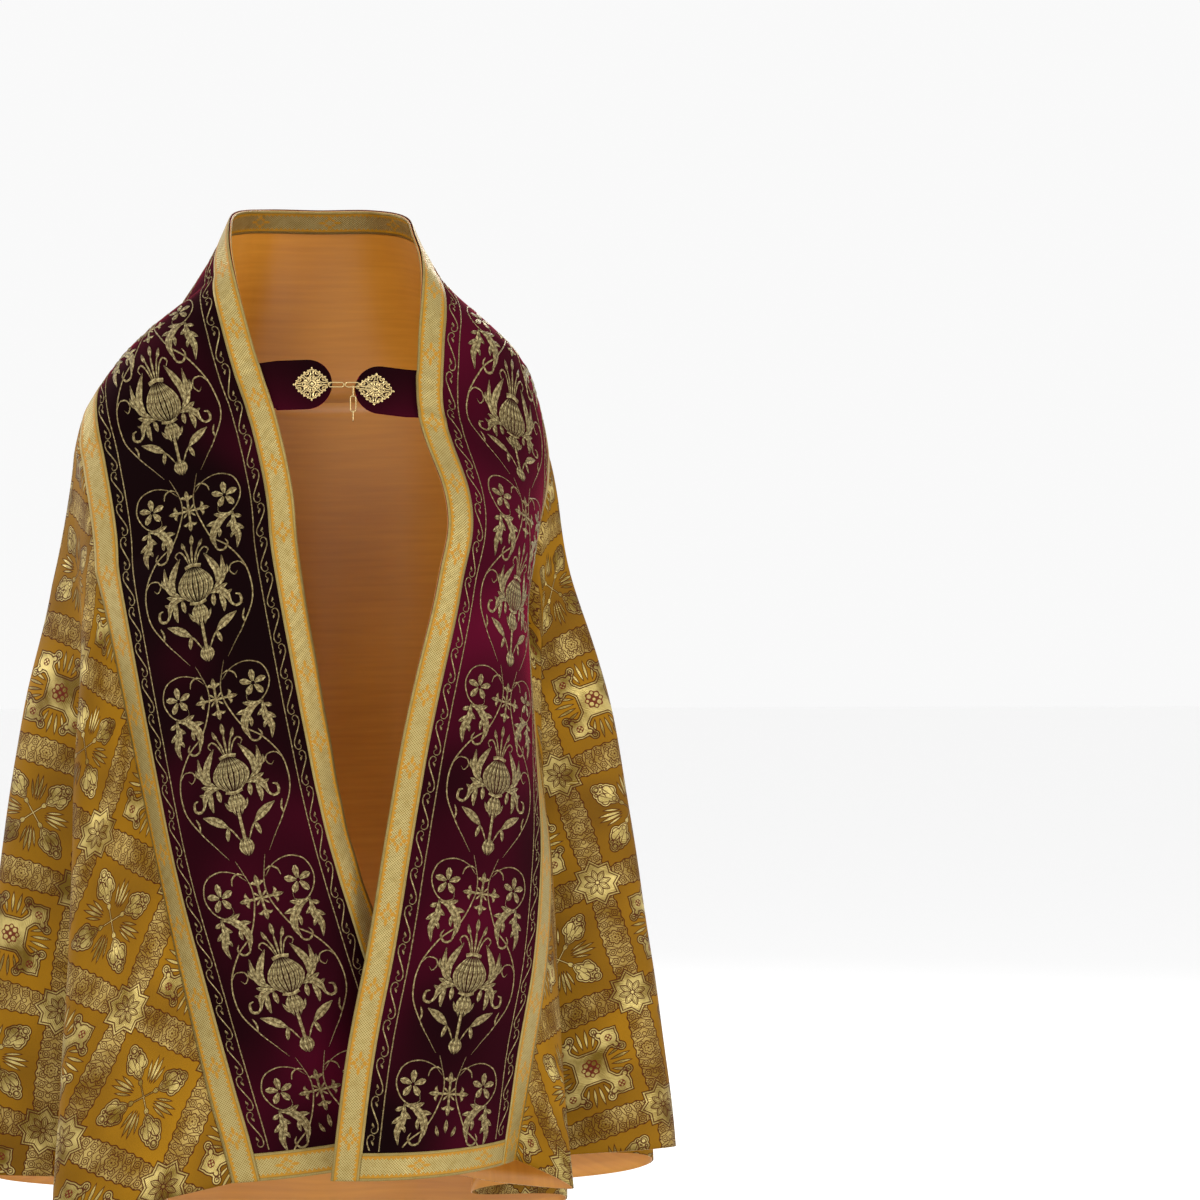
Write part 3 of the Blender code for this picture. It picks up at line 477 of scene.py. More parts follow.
def make_band_sheet():
    x = np.linspace(-RADIUS, RADIUS, 901)
    y = np.linspace(0, BAND, 64)
    flat_x, flat_y = np.meshgrid(x, y)
    points = STRIP.point(flat_x, flat_y)
    points = points + grid_normals(points) * band_crease(flat_x, flat_y)[..., None]
    return Sheet(x, y, points, grid_normals(points))


def make_back_sheet():
    """The back under the hood, its normals evened out over the brocade's folds."""
    x = np.linspace(-0.345, 0.345, 101)
    y = np.linspace(BAND, BAND + 0.60, 91)
    flat_x, flat_y = np.meshgrid(x, y)
    reach = HOOD_EVEN
    along = drape(flat_x + reach, flat_y) - drape(flat_x - reach, flat_y)
    across = drape(flat_x, flat_y + reach) - drape(flat_x, flat_y - reach)
    return Sheet(x, y, drape(flat_x, flat_y), unit(np.cross(along, across)))


def hood_height(x, y):
    """How far the hood's inner face stands over the cope's inner face."""
    share = np.clip((y - HOOD_TOP) / HOOD_FREE, 0, 1)
    side = np.clip(x / HOOD_HALF_WIDTH, -1, 1) ** 2
    top = HOOD_LIFT_TOP + (HOOD_LIFT_TOP_SIDE - HOOD_LIFT_TOP) * side
    hang = 1.5 * MM * np.sin(19.0 * x + 0.8) * np.sin(7.0 * (y - HOOD_TOP)) * share
    return BODY_CLOTH_TOP + top + (HOOD_LIFT - top) * share + hang


BAND_SHEET = make_band_sheet()
BACK_SHEET = make_back_sheet()


def on_band(x, y, height):
    return BAND_SHEET.at(x, y, height)


def on_hood(x, y, height):
    return BACK_SHEET.at(x, y, hood_height(x, y) + height)


def band_flat(length, across):
    """Flat x of band points at a share of the way along one side: -1 right hem, 1 left hem."""
    hem = np.sqrt(RADIUS**2 - across**2)
    reach = np.abs(length)
    return np.sign(length) * np.where(
        reach < SHOULDER / RADIUS,
        reach * RADIUS,
        SHOULDER + (reach - SHOULDER / RADIUS) / (1 - SHOULDER / RADIUS) * (hem - SHOULDER),
    )


def grid_shares(columns, rows):
    """A bmesh grid, and the shares of its width and height at its vertices."""
    form = bmesh.new()
    bmesh.ops.create_grid(form, x_segments=columns, y_segments=rows, size=0.5)
    shares = np.array([vert.co[:2] for vert in form.verts]) + 0.5
    return form, shares.reshape(rows + 1, columns + 1, 2)


def put(form, points, flat):
    """Moves a grid's vertices to their places and keeps their flat coordinates in the UV map."""
    layer = form.loops.layers.uv.new("UVMap")
    points, flat = points.reshape(-1, 3), flat.reshape(-1, 2)
    for vert, point in zip(form.verts, points):
        vert.co = point
    form.verts.index_update()
    for face in form.faces:
        for loop in face.loops:
            loop[layer].uv = flat[loop.vert.index]


def cloth_patch(columns, rows, place):
    """A bmesh grid laid by place(share along, share across), which gives points and flat UVs."""
    form, shares = grid_shares(columns, rows)
    points, flat = place(shares[..., 0], shares[..., 1])
    put(form, points, flat)
    return form


def joined(forms):
    """Several bmesh patches as one."""
    whole = bmesh.new()
    for form in forms:
        mesh = bpy.data.meshes.new("patch")
        form.to_mesh(mesh)
        form.free()
        whole.from_mesh(mesh)
        bpy.data.meshes.remove(mesh)
    return whole


def finish_piece(name, form, finish, body=CLOTH_BODY):
    """Turns a bmesh into a finished object that rides on a body."""
    mesh = bpy.data.meshes.new(name)
    form.to_mesh(mesh)
    form.free()
    mesh.materials.append(finish)
    mesh.shade_smooth()
    mesh.set_sharp_from_angle(angle=SMOOTH_BELOW)
    piece = bpy.data.objects.new(name, mesh)
    bpy.context.scene.collection.objects.link(piece)
    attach(piece, body)
    return piece


def lay_cloth(name, form, cloth, thickness, node=None):
    """A sheet of a cloth in place of its solid, thickened inwards from the surface it was laid on."""
    piece = finish_piece(name, form, finishes()[cloth])
    wall = piece.modifiers.new("Thickness", "SOLIDIFY")
    wall.thickness = thickness
    wall.offset = -1
    wall.use_even_offset = False
    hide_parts(node or name.lower())


def skirt_patch(first, last, columns, rows, height):
    """Cloth below the band between two fold lines."""

    def place(along, down):
        at = first + (last - first) * along
        x, y = SKIRT.flat_of(at, down)
        base = SKIRT.placed(at, down, x)
        normal = grid_normals(base)
        normal[0] = normal[1]
        lift = height + skirt_crease(x, y)
        return base + normal * lift[..., None], np.stack([x, y], axis=-1)

    return cloth_patch(columns, rows, place)


def band_patch(first, last, low_y, high_y, columns, rows, height, strip=False, profile=None):
    """Cloth of the band between two shares of its length. A strip's UV runs along it from its edge."""

    def place(along, across):
        y = low_y + (high_y - low_y) * across
        x = band_flat(first + (last - first) * along, y)
        lift = height + (profile(across) if profile else 0)
        return on_band(x, y, lift + 0 * x), np.stack([x, y - low_y if strip else y], axis=-1)

    return cloth_patch(columns, rows, place)


# Widths of a stitched stroke along its way, as shares of its half width
EVEN = (1, 1)
VINE = (0.4, 0.9, 1, 0.9, 0.35)
LEAF = (0.1, 0.6, 0.95, 1, 0.85, 0.5, 0.08)
PETAL = (0.3, 0.55, 0.85, 1, 0.9, 0.3)
FLARE = (0.35, 0.42, 0.55, 0.75, 1)
STITCH_SIDES = 5
STITCH_STEP = 3.5 * MM

# The orphrey's motif: stroke, half width in mm, then x and y in cm from its cross, y up
MOTIF_START = GALLOON / 2 + 0.006
MOTIF_STRETCH = 1.035
MOTIF_TOP = 4.3
MOTIF_PAIRS = (
    (VINE, 0.9, 1.7, 4.3, 1.2, 2.9, 0.75, 1.2, 1.0, -0.7, 2.4, -3.7, 4.5, -5.6, 6.2, -8.5, 6.3, -11.9)
    + (4.8, -14.8, 3.4, -16.7, 2.3, -18.2),
    (VINE, 0.8, 1.1, 2.1, 2.3, 3.2, 4.1, 3.65, 5.8, 3.0, 6.45, 1.3, 5.9, -0.3, 4.8, -1.25)
    + (3.6, -1.0, 3.5, -0.3),
    (VINE, 1.0, 1.2, 2.7, 1.9, 3.0, 2.6, 2.6, 2.8, 1.9),
    (PETAL, 4.0, 4.5, 1.15, 4.5, 1.8, 4.55, 2.5),
    (PETAL, 4.0, 4.7, 1.0, 5.3, 1.25, 6.0, 1.4),
    (PETAL, 4.0, 4.65, 0.75, 5.05, 0.25, 5.4, -0.35),
    (PETAL, 4.0, 4.35, 0.75, 4.0, 0.25, 3.65, -0.3),
    (PETAL, 4.0, 4.3, 1.0, 3.7, 1.2, 3.05, 1.45),
    (EVEN, 1.4, 0.0, 0.0, 0.7, 0.0, 1.4, 0.0),
    (LEAF, 3.0, 1.2, 0.0, 1.9, 0.0, 2.5, 0.0),
    (LEAF, 1.8, 1.3, 0.05, 1.7, 0.5, 1.55, 0.85),
    (LEAF, 1.8, 1.3, -0.05, 1.7, -0.5, 1.55, -0.85),
    (LEAF, 1.8, 0.05, 1.3, 0.5, 1.7, 0.85, 1.55),
    (LEAF, 1.8, 0.05, -1.3, 0.5, -1.7, 0.85, -1.55),
    (LEAF, 1.2, 0.15, 0.15, 0.45, 0.45, 0.75, 0.75),
    (LEAF, 1.2, 0.15, -0.15, 0.45, -0.45, 0.75, -0.75),
    # Acanthus leaves under the flower
    (LEAF, 5.0, 5.3, -1.3, 4.0, -1.7, 2.9, -2.9, 2.65, -4.2, 3.1, -5.5),
    (VINE, 1.3, 2.7, -4.4, 3.1, -5.6, 3.9, -5.8, 4.4, -5.1, 4.1, -4.5),
    (LEAF, 3.2, 4.2, -1.7, 3.6, -1.4, 2.9, -1.1),
    (LEAF, 3.4, 3.6, -2.3, 2.8, -2.2, 1.9, -2.3),
    (LEAF, 2.6, 3.3, -2.7, 3.5, -3.4, 3.4, -4.1),
    (LEAF, 4.6, 5.2, -1.2, 5.2, -3.0, 5.7, -4.4, 5.45, -5.9),
    (LEAF, 3.0, 5.3, -2.0, 4.8, -2.6, 4.3, -2.9),
    (LEAF, 3.0, 5.3, -2.6, 5.9, -3.2, 6.4, -3.5),
    (LEAF, 2.8, 5.3, -1.6, 5.8, -1.9, 6.2, -2.0),
    (LEAF, 2.4, 5.5, -3.6, 5.0, -4.0, 4.8, -4.5),
    (VINE, 0.8, 6.15, -8.4, 5.5, -7.6, 4.5, -7.7, 4.2, -8.4, 4.7, -9.0, 5.1, -8.6),
    (VINE, 1.2, 4.9, -14.7, 4.8, -13.9, 5.1, -13.1),
    # Stamens, crown and ribbed bulb
    (VINE, 1.1, 0.25, -6.8, 0.5, -5.6, 0.9, -4.5),
    (LEAF, 2.4, 0.8, -4.8, 1.05, -4.3, 1.25, -3.6),
    (VINE, 1.0, 0.45, -6.7, 0.9, -5.5, 1.5, -4.9, 2.0, -5.3, 1.75, -5.8),
    (LEAF, 2.6, 0.2, -7.2, 0.5, -8.3, 0.65, -9.3, 0.5, -10.3, 0.2, -11.2),
    (LEAF, 2.6, 0.4, -7.2, 1.0, -8.3, 1.25, -9.3, 1.0, -10.3, 0.4, -11.2),
    (LEAF, 2.8, 0.6, -7.2, 1.5, -8.3, 1.85, -9.3, 1.5, -10.3, 0.6, -11.2),
    (LEAF, 3.4, 0.35, -11.5, 0.65, -12.5, 0.35, -13.9),
    (LEAF, 2.2, 0.4, -13.5, 0.95, -13.0, 1.35, -12.2),
    # Leaves at the bulb's sides: two that rise and one that droops and curls
    (LEAF, 4.2, 2.0, -10.1, 3.0, -9.3, 3.45, -8.0, 3.5, -6.4),
    (LEAF, 4.4, 2.5, -9.6, 2.75, -8.2, 2.2, -6.9, 1.45, -5.7),
    (LEAF, 2.6, 2.9, -9.1, 3.8, -8.4, 4.0, -7.6),
    (LEAF, 4.6, 1.5, -10.5, 2.6, -10.4, 3.4, -11.1, 3.8, -12.4),
    (VINE, 1.7, 3.5, -11.5, 4.1, -12.5, 4.9, -12.3, 4.9, -11.4, 4.4, -11.2),
    (LEAF, 3.0, 2.4, -10.5, 3.0, -10.1, 3.7, -9.8),
    (LEAF, 3.0, 3.0, -10.8, 3.5, -10.9, 4.1, -10.6),
    (LEAF, 3.2, 1.9, -10.6, 1.8, -11.4, 1.75, -12.1),
    (LEAF, 3.4, 2.6, -10.8, 2.9, -11.9, 2.8, -13.0),
    (VINE, 1.0, 0.5, -16.6, 1.1, -15.5, 1.7, -14.8),
    (LEAF, 5.0, 1.5, -15.0, 2.8, -14.0, 4.2, -13.2),
    (LEAF, 2.8, 1.5, -14.9, 1.75, -15.7, 1.9, -16.4),
    (LEAF, 2.6, 0.25, -16.4, 0.6, -17.3, 0.25, -18.2),
)
MOTIF_MIDDLE = (
    (EVEN, 1.4, 0.0, -1.4, 0.0, 0.0, 0.0, 1.4),
    (LEAF, 3.0, 0.0, 1.2, 0.0, 1.9, 0.0, 2.5),
    (LEAF, 3.0, 0.0, -1.2, 0.0, -1.9, 0.0, -2.5),
    (VINE, 1.3, 0.0, -6.8, 0.0, -5.4, 0.0, -4.2),
    (LEAF, 2.8, 0.0, -4.4, 0.0, -3.6, 0.0, -2.9),
    (EVEN, 2.2, -0.95, -7.05, 0.0, -6.85, 0.95, -7.05),
    (LEAF, 2.4, 0.0, -7.2, 0.0, -9.3, 0.0, -11.2),
    (EVEN, 2.0, -0.95, -11.15, 0.0, -11.4, 0.95, -11.15),
    (LEAF, 3.4, 0.0, -11.4, 0.0, -12.6, 0.0, -14.0),
    (EVEN, 1.8, 0.0, -13.7, 0.0, -15.2, 0.0, -16.8),
    (LEAF, 3.4, 0.0, -16.4, 0.0, -17.4, 0.0, -18.3),
)
# One unit of the border scroll, along and across in cm
SCROLL_START = GALLOON / 2 + 0.004
SCROLL_MIDDLE = 0.9
SCROLL = (
    (VINE, 0.7, 0.75, -0.05, 0.55, 0.2, 0.2, 0.15, 0.05, -0.2, 0.4, -0.5, 1.1, -0.5, 2.2, 0.0, 3.3, 0.5)
    + (4.0, 0.5, 4.3, 0.2, 4.15, -0.15, 3.8, -0.2, 3.6, 0.05),
    (LEAF, 1.3, 0.75, -0.1, 1.0, 0.1, 1.25, 0.15),
    (LEAF, 1.3, 3.6, 0.1, 3.35, -0.1, 3.1, -0.15),
)

# The hood's medallion, in cm from its middle, y toward the neck
MEDALLION_DOWN = 0.232
LOBES = 8
RAYS = 36
LOBE_PAIRS = (
    (LEAF, 2.0, 0.25, 12.6, 0.95, 13.5, 1.0, 14.8),
    (VINE, 0.8, 0.1, 10.3, 1.1, 10.6, 2.5, 10.9, 3.0, 12.1, 2.4, 13.0, 1.5, 12.7, 1.6, 11.9, 2.2, 11.9),
    (LEAF, 1.6, 2.0, 10.8, 2.7, 10.3, 3.4, 10.6),
    (LEAF, 1.5, 2.9, 12.4, 3.2, 13.2, 2.9, 14.0),
    (LEAF, 1.4, 0.1, 9.6, 0.8, 9.5, 1.5, 9.8),
)
LOBE_MIDDLE = ((VINE, 0.9, 0, 9.2, 0, 11.4, 0, 13.6), (LEAF, 3.0, 0, 13.0, 0, 14.4, 0, 15.9))
SPRAY_PAIRS = (
    (VINE, 0.8, 0.0, 0.2, 1.3, 0.1, 2.6, 0.9, 2.8, 2.2, 1.8, 2.9, 1.1, 2.2, 1.6, 1.6),
    (VINE, 0.6, 0.3, 0.6, 1.3, 0.6, 2.2, 1.2, 2.3, 2.0, 1.7, 2.4),
    (LEAF, 1.6, 0.1, 2.6, 0.9, 3.3, 1.3, 4.5),
    (LEAF, 1.6, 2.6, 1.2, 3.3, 1.9, 3.5, 3.0),
    (LEAF, 1.5, 1.4, 0.2, 2.3, -0.2, 3.3, 0.2),
    (LEAF, 1.2, 2.6, 2.4, 2.6, 3.3, 2.2, 4.0),
    (VINE, 0.6, 0.1, 1.0, 0.7, 2.2, 0.5, 3.6),
)
SPRAY_MIDDLE = ((VINE, 0.9, 0, 0, 0, 1.8, 0, 3.4), (LEAF, 2.4, 0, 3.0, 0, 4.2, 0, 5.4))
CROSS_PAIRS = (
    (EVEN, 0.7, 0.5, 1.1, 0.75, 2.5, 1.45, 4.9),
    (EVEN, 0.7, 0.0, 4.75, 0.8, 4.8, 1.5, 4.95),
)


def path_of(numbers):
    """A table row's path, from centimetres to metres."""
    return np.reshape(numbers, (-1, 2)) * CM


class Stitching:
    """Satin-stitched strokes over a cloth. lay(x, y, height) gives worn points."""

    def __init__(self, lay, low):
        self.lay, self.low, self.form = lay, low, bmesh.new()
        self.flat, self.height, self.thread = [], [], []

    def stroke(self, widths, half, path, limit=None):
        """A closed, crowned tube along flat points. It stops where x passes the limit."""
        run = np.linalg.norm(np.diff(path, axis=0), axis=1).sum()
        steps = max(4, round(run / STITCH_STEP))
        middle = curve_through(path, np.linspace(0, len(path) - 1, steps + 1))
        share = np.linspace(0, 1, steps + 1)
        if limit is not None:
            past = np.nonzero(np.abs(middle[:, 0]) > limit)[0]
            if len(past) and past[0] < 3:
                return
            if len(past):
                middle, share = middle[: past[0]], share[: past[0]]
        ahead = unit(np.gradient(middle, axis=0))
        width = half * np.interp(share, np.linspace(0, 1, len(widths)), widths)
        width = np.concatenate([[0], width, [0]])
        middle, ahead, share = (np.concatenate([a[:1], a, a[-1:]]) for a in (middle, ahead, share))
        turn = np.linspace(0, 2 * math.pi, STITCH_SIDES + 1) - 0.3 * math.pi
        across = np.cos(turn) * width[:, None]
        aside = np.stack([-ahead[:, 1], ahead[:, 0]], axis=-1)
        crown = np.minimum(0.45 * width + 0.25 * MM, 1.15 * MM) * (width > 0)
        self.flat.append((middle[:, None] + aside[:, None] * across[..., None]).reshape(-1, 2))
        self.height.append((self.low + np.clip(np.sin(turn), -0.1, 1) * crown[:, None]).ravel())
        veined = across + (1.0 if half > 2 * MM and len(widths) > 2 else 0.0)
        self.thread.append(np.stack([across * 0 + share[:, None] * run, veined], axis=-1).reshape(-1, 2))
        bmesh.ops.create_grid(self.form, x_segments=STITCH_SIDES, y_segments=len(share) - 1, size=1)

    def strokes(self, table, place, limit=None):
        """A table's strokes; place turns their flat centimetres into flat points of the cut."""
        for widths, half, *numbers in table:
            self.stroke(widths, half * MM, place(path_of(numbers)), limit)

    def finish(self, name, finish):
        flat = np.concatenate(self.flat)
        points = self.lay(flat[:, 0], flat[:, 1], np.concatenate(self.height))
        put(self.form, points, np.concatenate(self.thread))
        bmesh.ops.remove_doubles(self.form, verts=self.form.verts, dist=WELD)
        return finish_piece(name, self.form, finish)


class Number:
    """A value in a node tree. Arithmetic on it adds Math nodes."""

    def __init__(self, tree, socket):
        self.tree, self.socket = tree, socket

    def do(self, operation, *others, clamp=False):
        node = self.tree.nodes.new("ShaderNodeMath")
        node.operation = operation
        node.use_clamp = clamp
        for slot, value in zip(node.inputs, (self, *others)):
            if isinstance(value, Number):
                self.tree.links.new(value.socket, slot)
            else:
                slot.default_value = value
        return Number(self.tree, node.outputs[0])

    def __add__(self, other):
        return self.do("ADD", other)

    def __sub__(self, other):
        return self.do("SUBTRACT", other)

    def __rsub__(self, other):
        return self.do("MULTIPLY_ADD", -1.0, other)

    def __mul__(self, other):
        return self.do("MULTIPLY", other)

    def __truediv__(self, other):
        return self.do("DIVIDE", other)

    def __abs__(self):
        return self.do("ABSOLUTE")

    __radd__ = __add__
    __rmul__ = __mul__

    def least(self, other):
        return self.do("MINIMUM", other)

    def most(self, other):
        return self.do("MAXIMUM", other)

    def melt(self, other, reach):
        """The lesser of two values, rounded where they meet."""
        return self.do("SMOOTH_MIN", other, reach)

    def fold(self, reach):
        """Distance from the nearest multiple of twice the reach."""
        return self.do("PINGPONG", reach)

    def inside(self, soft):
        """1 where the value is below zero, with a soft edge."""
        return self.do("MULTIPLY_ADD", -0.5 / soft, 0.5, clamp=True)

    def line(self, middle, half, soft):
        """1 where the value is within half of middle."""
        return (abs(self - middle) - half).inside(soft)


def length(x, y):
    return (x * x + y * y).do("SQRT")


def disc(x, y, middle_x, middle_y, radius):
    """Distance to a round dot, negative inside it."""
    return length(x - middle_x, y - middle_y) - radius


def leaf(along, across, start, end, half):
    """A pointed leaf from start to end: negative inside."""
    middle, reach = (start + end) / 2, (end - start) / 2
    off = (along - middle) / reach
    swell = (1 - off * off).most(-4.0)
    return abs(across) - swell * half


class Finish:
    """A material, or a node group, under construction."""

    def __init__(self, name, group=False, takes=(), gives=()):
        if group:
            self.made = bpy.data.node_groups.new(name, "ShaderNodeTree")
            self.tree = self.made
            for label, kind in takes:
                self.made.interface.new_socket(label, in_out="INPUT", socket_type=kind)
            for label, kind in gives:
                self.made.interface.new_socket(label, in_out="OUTPUT", socket_type=kind)
            self.inside = self.tree.nodes.new("NodeGroupInput")
            self.out = self.tree.nodes.new("NodeGroupOutput")
        else:
            self.made = bpy.data.materials.new(name)
            self.made.use_nodes = True
            self.tree = self.made.node_tree
            self.shader = self.tree.nodes["Principled BSDF"]

    def node(self, kind, values=(), **settings):
        made = self.tree.nodes.new(kind)
        for key, value in settings.items():
            setattr(made, key, value)
        for slot, value in dict(values).items():
            self.feed(made.inputs[slot], value)
        return made

    def feed(self, slot, value):
        if isinstance(value, Number):
            self.tree.links.new(value.socket, slot)
        elif isinstance(value, bpy.types.NodeSocket):
            self.tree.links.new(value, slot)
        else:
            slot.default_value = value

    def number(self, socket):
        return Number(self.tree, socket)

    def split(self, vector):
        """The first two numbers of a vector."""
        parts = self.node("ShaderNodeSeparateXYZ", {0: vector})
        return self.number(parts.outputs[0]), self.number(parts.outputs[1])

    def uv(self):
        """The piece's flat coordinates in metres."""
        return self.split(self.uv_vector())

    def uv_vector(self):
        return self.node("ShaderNodeUVMap", uv_map="UVMap").outputs[0]

    def vector(self, x, y, z=0.0):
        return self.node("ShaderNodeCombineXYZ", {0: x, 1: y, 2: z}).outputs[0]

    def noise(self, vector, scale, detail=2.0, roughness=0.5):
        values = {"Vector": vector, "Scale": scale, "Detail": detail, "Roughness": roughness}
        return self.number(self.node("ShaderNodeTexNoise", values).outputs[0])

    def mix(self, share, one, other):
        """A colour between two colours."""
        made = self.node("ShaderNodeMix", data_type="RGBA")
        for slot, value in ((0, share), (6, one), (7, other)):
            self.feed(made.inputs[slot], value)
        return made.outputs[2]

    def between(self, share, low, high):
        """A value between two values."""
        return share * (high - low) + low

    def bump(self, height, distance, strength=1.0):
        values = {"Strength": strength, "Distance": distance, "Height": height}
        return self.node("ShaderNodeBump", values).outputs[0]

    def set(self, **values):
        for label, value in values.items():
            self.feed(self.shader.inputs[label.replace("_", " ")], value)
        return self.made

    def place(self, group, **values):
        made = self.tree.nodes.new("ShaderNodeGroup")
        made.node_tree = group
        for label, value in values.items():
            self.feed(made.inputs[label], value)
        return made

    def give(self, **values):
        for label, value in values.items():
            self.feed(self.out.inputs[label], value)
        return self.made


def colour(red, green, blue):
    return (red, green, blue, 1.0)


# The brocade's repeat: stars at its corners and middle, crosses and leaf crosses between them
REPEAT_START = 0.130
STAR_REACH = 0.0305
STAR_NOTCH = 0.0225
STAR_TURN = math.pi / 8
CROSS_ARM = 0.0610
CROSS_ARM_HIGH = 0.0570
LEAF_ARM = 0.0655
LEAF_ARM_HIGH = 0.0585
CURL_PITCH = 0.0121
LINE = 0.7 * MM
THIN = 0.5 * MM
EDGE = 0.25 * MM
BAND_SHINE = 0.62


def turned(x, y, angle):
    return x * math.cos(angle) + y * math.sin(angle), y * math.cos(angle) - x * math.sin(angle)


def least_of(values):
    first, *others = values
    for value in others:
        first = first.least(value)
    return first


def most_of(values):
    first, *others = values
    for value in others:
        first = first.most(value)
    return first


def brocade_group(wide, high):
    """Masks of the brocade's figure: pale metal thread, dark lines that draw it, and red hearts."""
    work = Finish(
        "Brocade figure",
        group=True,
        takes=[("UV", "NodeSocketVector")],
        gives=[("Thread", "NodeSocketFloat"), ("Line", "NodeSocketFloat"), ("Heart", "NodeSocketFloat")],
    )
    u, v = work.split(work.inside.outputs[0])
    v = v - REPEAT_START
    half_wide, half_high = wide / 2, high / 2
    a, b = u.fold(half_wide), v.fold(half_high)
    threads, lines = [], []

    def draw(shape, *rings, half=LINE):
        """A filled shape with an outline, and more outlines at these depths inside it."""
        threads.append(shape.inside(EDGE))
        for depth in (0.0, *rings):
            lines.append(shape.line(depth, half, EDGE))

    def rays(m, n, table):
        """Slender leaves either side of the diagonal: angle, start, end, half width."""
        found = []
        for turn, start, end, half in table:
            found.append(leaf(*turned(m, n, math.pi / 4 - turn), start, end, half))
        draw(least_of(found), half=THIN)

    # Lattice bands: curls either side of a stem of leaves, and a flower half way
    reach = math.hypot(half_wide, half_high)
    s, t = turned(a, b, math.atan2(half_high, half_wide))
    s, t = s.fold(reach / 2), abs(t)
    scallop = (s * (2 * math.pi / CURL_PITCH)).do("COSINE") * 0.0009
    strip = t - (s * (math.pi / reach)).do("SINE") * 0.0052 - 0.0112 + scallop
    along = ((s / CURL_PITCH).do("FRACT") - 0.5) * CURL_PITCH
    frond_at = ((s / CURL_PITCH + 0.5).do("FRACT") - 0.5) * CURL_PITCH
    curl = length(along, t - 0.0084)
    frond = leaf(t, frond_at - (t - 0.008) * 0.3, 0.0006, 0.0165, 0.0019)
    flower_x = s - reach / 2
    flower = length(flower_x, t)
    petal_turn = t.do("ARCTAN2", flower_x).fold(math.pi / 6)
    bloom = flower - (petal_turn * 3.0).do("COSINE") * 0.0022 - 0.0068
    threads.append(strip.inside(EDGE) * BAND_SHINE)
    fill = most_of(
        [
            curl.line(0.0040, THIN, EDGE),
            curl.line(0.0019, THIN, EDGE),
            frond.line(0.0, THIN, EDGE),
            length(along, t).line(0.0026, THIN, EDGE),
            disc(along * 0.8, t, 0.0, 0.0146, 0.0011).inside(EDGE),
        ]
    )
    lines += [
        fill * strip.inside(EDGE) * bloom.do("GREATER_THAN", 0.0),
        strip.line(0.0, LINE, EDGE),
        bloom.line(0.0, LINE, EDGE),
        bloom.line(-0.0036, THIN, EDGE),
        (flower - 0.0013).inside(EDGE),
    ]

    # Stars: the nearer of the two in this quarter of the repeat
    far_a, far_b = half_wide - a, half_high - b
    near = (a * a + b * b).do("LESS_THAN", far_a * far_a + far_b * far_b)
    qx, qy = far_a + (a - far_a) * near, far_b + (b - far_b) * near
    radius = length(qx, qy)
    angle = qy.do("ARCTAN2", qx).fold(STAR_TURN)
    px, py = radius * angle.do("COSINE"), radius * angle.do("SINE")
    notch = (STAR_NOTCH * math.cos(STAR_TURN), STAR_NOTCH * math.sin(STAR_TURN))
    edge = math.hypot(STAR_REACH - notch[0], notch[1])
    normal = (notch[1] / edge, (STAR_REACH - notch[0]) / edge)
    star = (px - STAR_REACH) * normal[0] + py * normal[1]
    outside = star.do("GREATER_THAN", 0.0)
    threads = [mask * outside for mask in threads]
    lines = [mask * outside for mask in lines]
    draw(star, -0.0029)
    blossom = leaf(px, py, 0.0022, 0.0168, 0.0034)
    lines += [blossom.line(0.0, LINE, EDGE), blossom.line(-0.0019, 0.0003, EDGE)]
    lines.append(radius.line(0.0026, THIN, EDGE))

    # Cross with trefoil ends
    x, y = a, far_b * (CROSS_ARM / CROSS_ARM_HIGH)
    m, n = x.most(y), x.least(y)
    cross = (n - 0.0068).most(m - 0.042)
    for spot in ((0.0435, 0.0, 0.0122), (0.0405, 0.0125, 0.0050), (0.0418, 0.0198, 0.0048)):
        cross = cross.melt(disc(m, n, *spot), 0.004)
    cross = cross.least((abs(m - 0.0465) + n) * 0.7 - 0.0092)
    cross = cross.melt((m + n - 0.0290) * 0.7, 0.002)
    draw(cross - 0.0008, -0.0026)
    lobes = (y.do("ARCTAN2", x).fold(math.pi / 8) * 8.0).do("COSINE") * 0.0010
    centre = length(x, y)
    petals = least_of(
        disc(m, n, *spot) for spot in ((0.0072, 0.0, 0.0027), (0.0062, 0.0062, 0.0019), (0.0, 0.0, 0.0019))
    )
    knots = disc(abs(m - 0.0435), n, 0.0018, 0.0018, 0.0013)
    hearts = (centre - lobes - 0.0112).least(disc(m, n, 0.0435, 0.0, 0.0046)).inside(EDGE)
    lines.append(hearts * (1 - petals.least(knots).inside(EDGE)))
    rays(m, n, ((0.11, 0.0265, 0.0510, 0.0019), (0.35, 0.0265, 0.0470, 0.0017)))

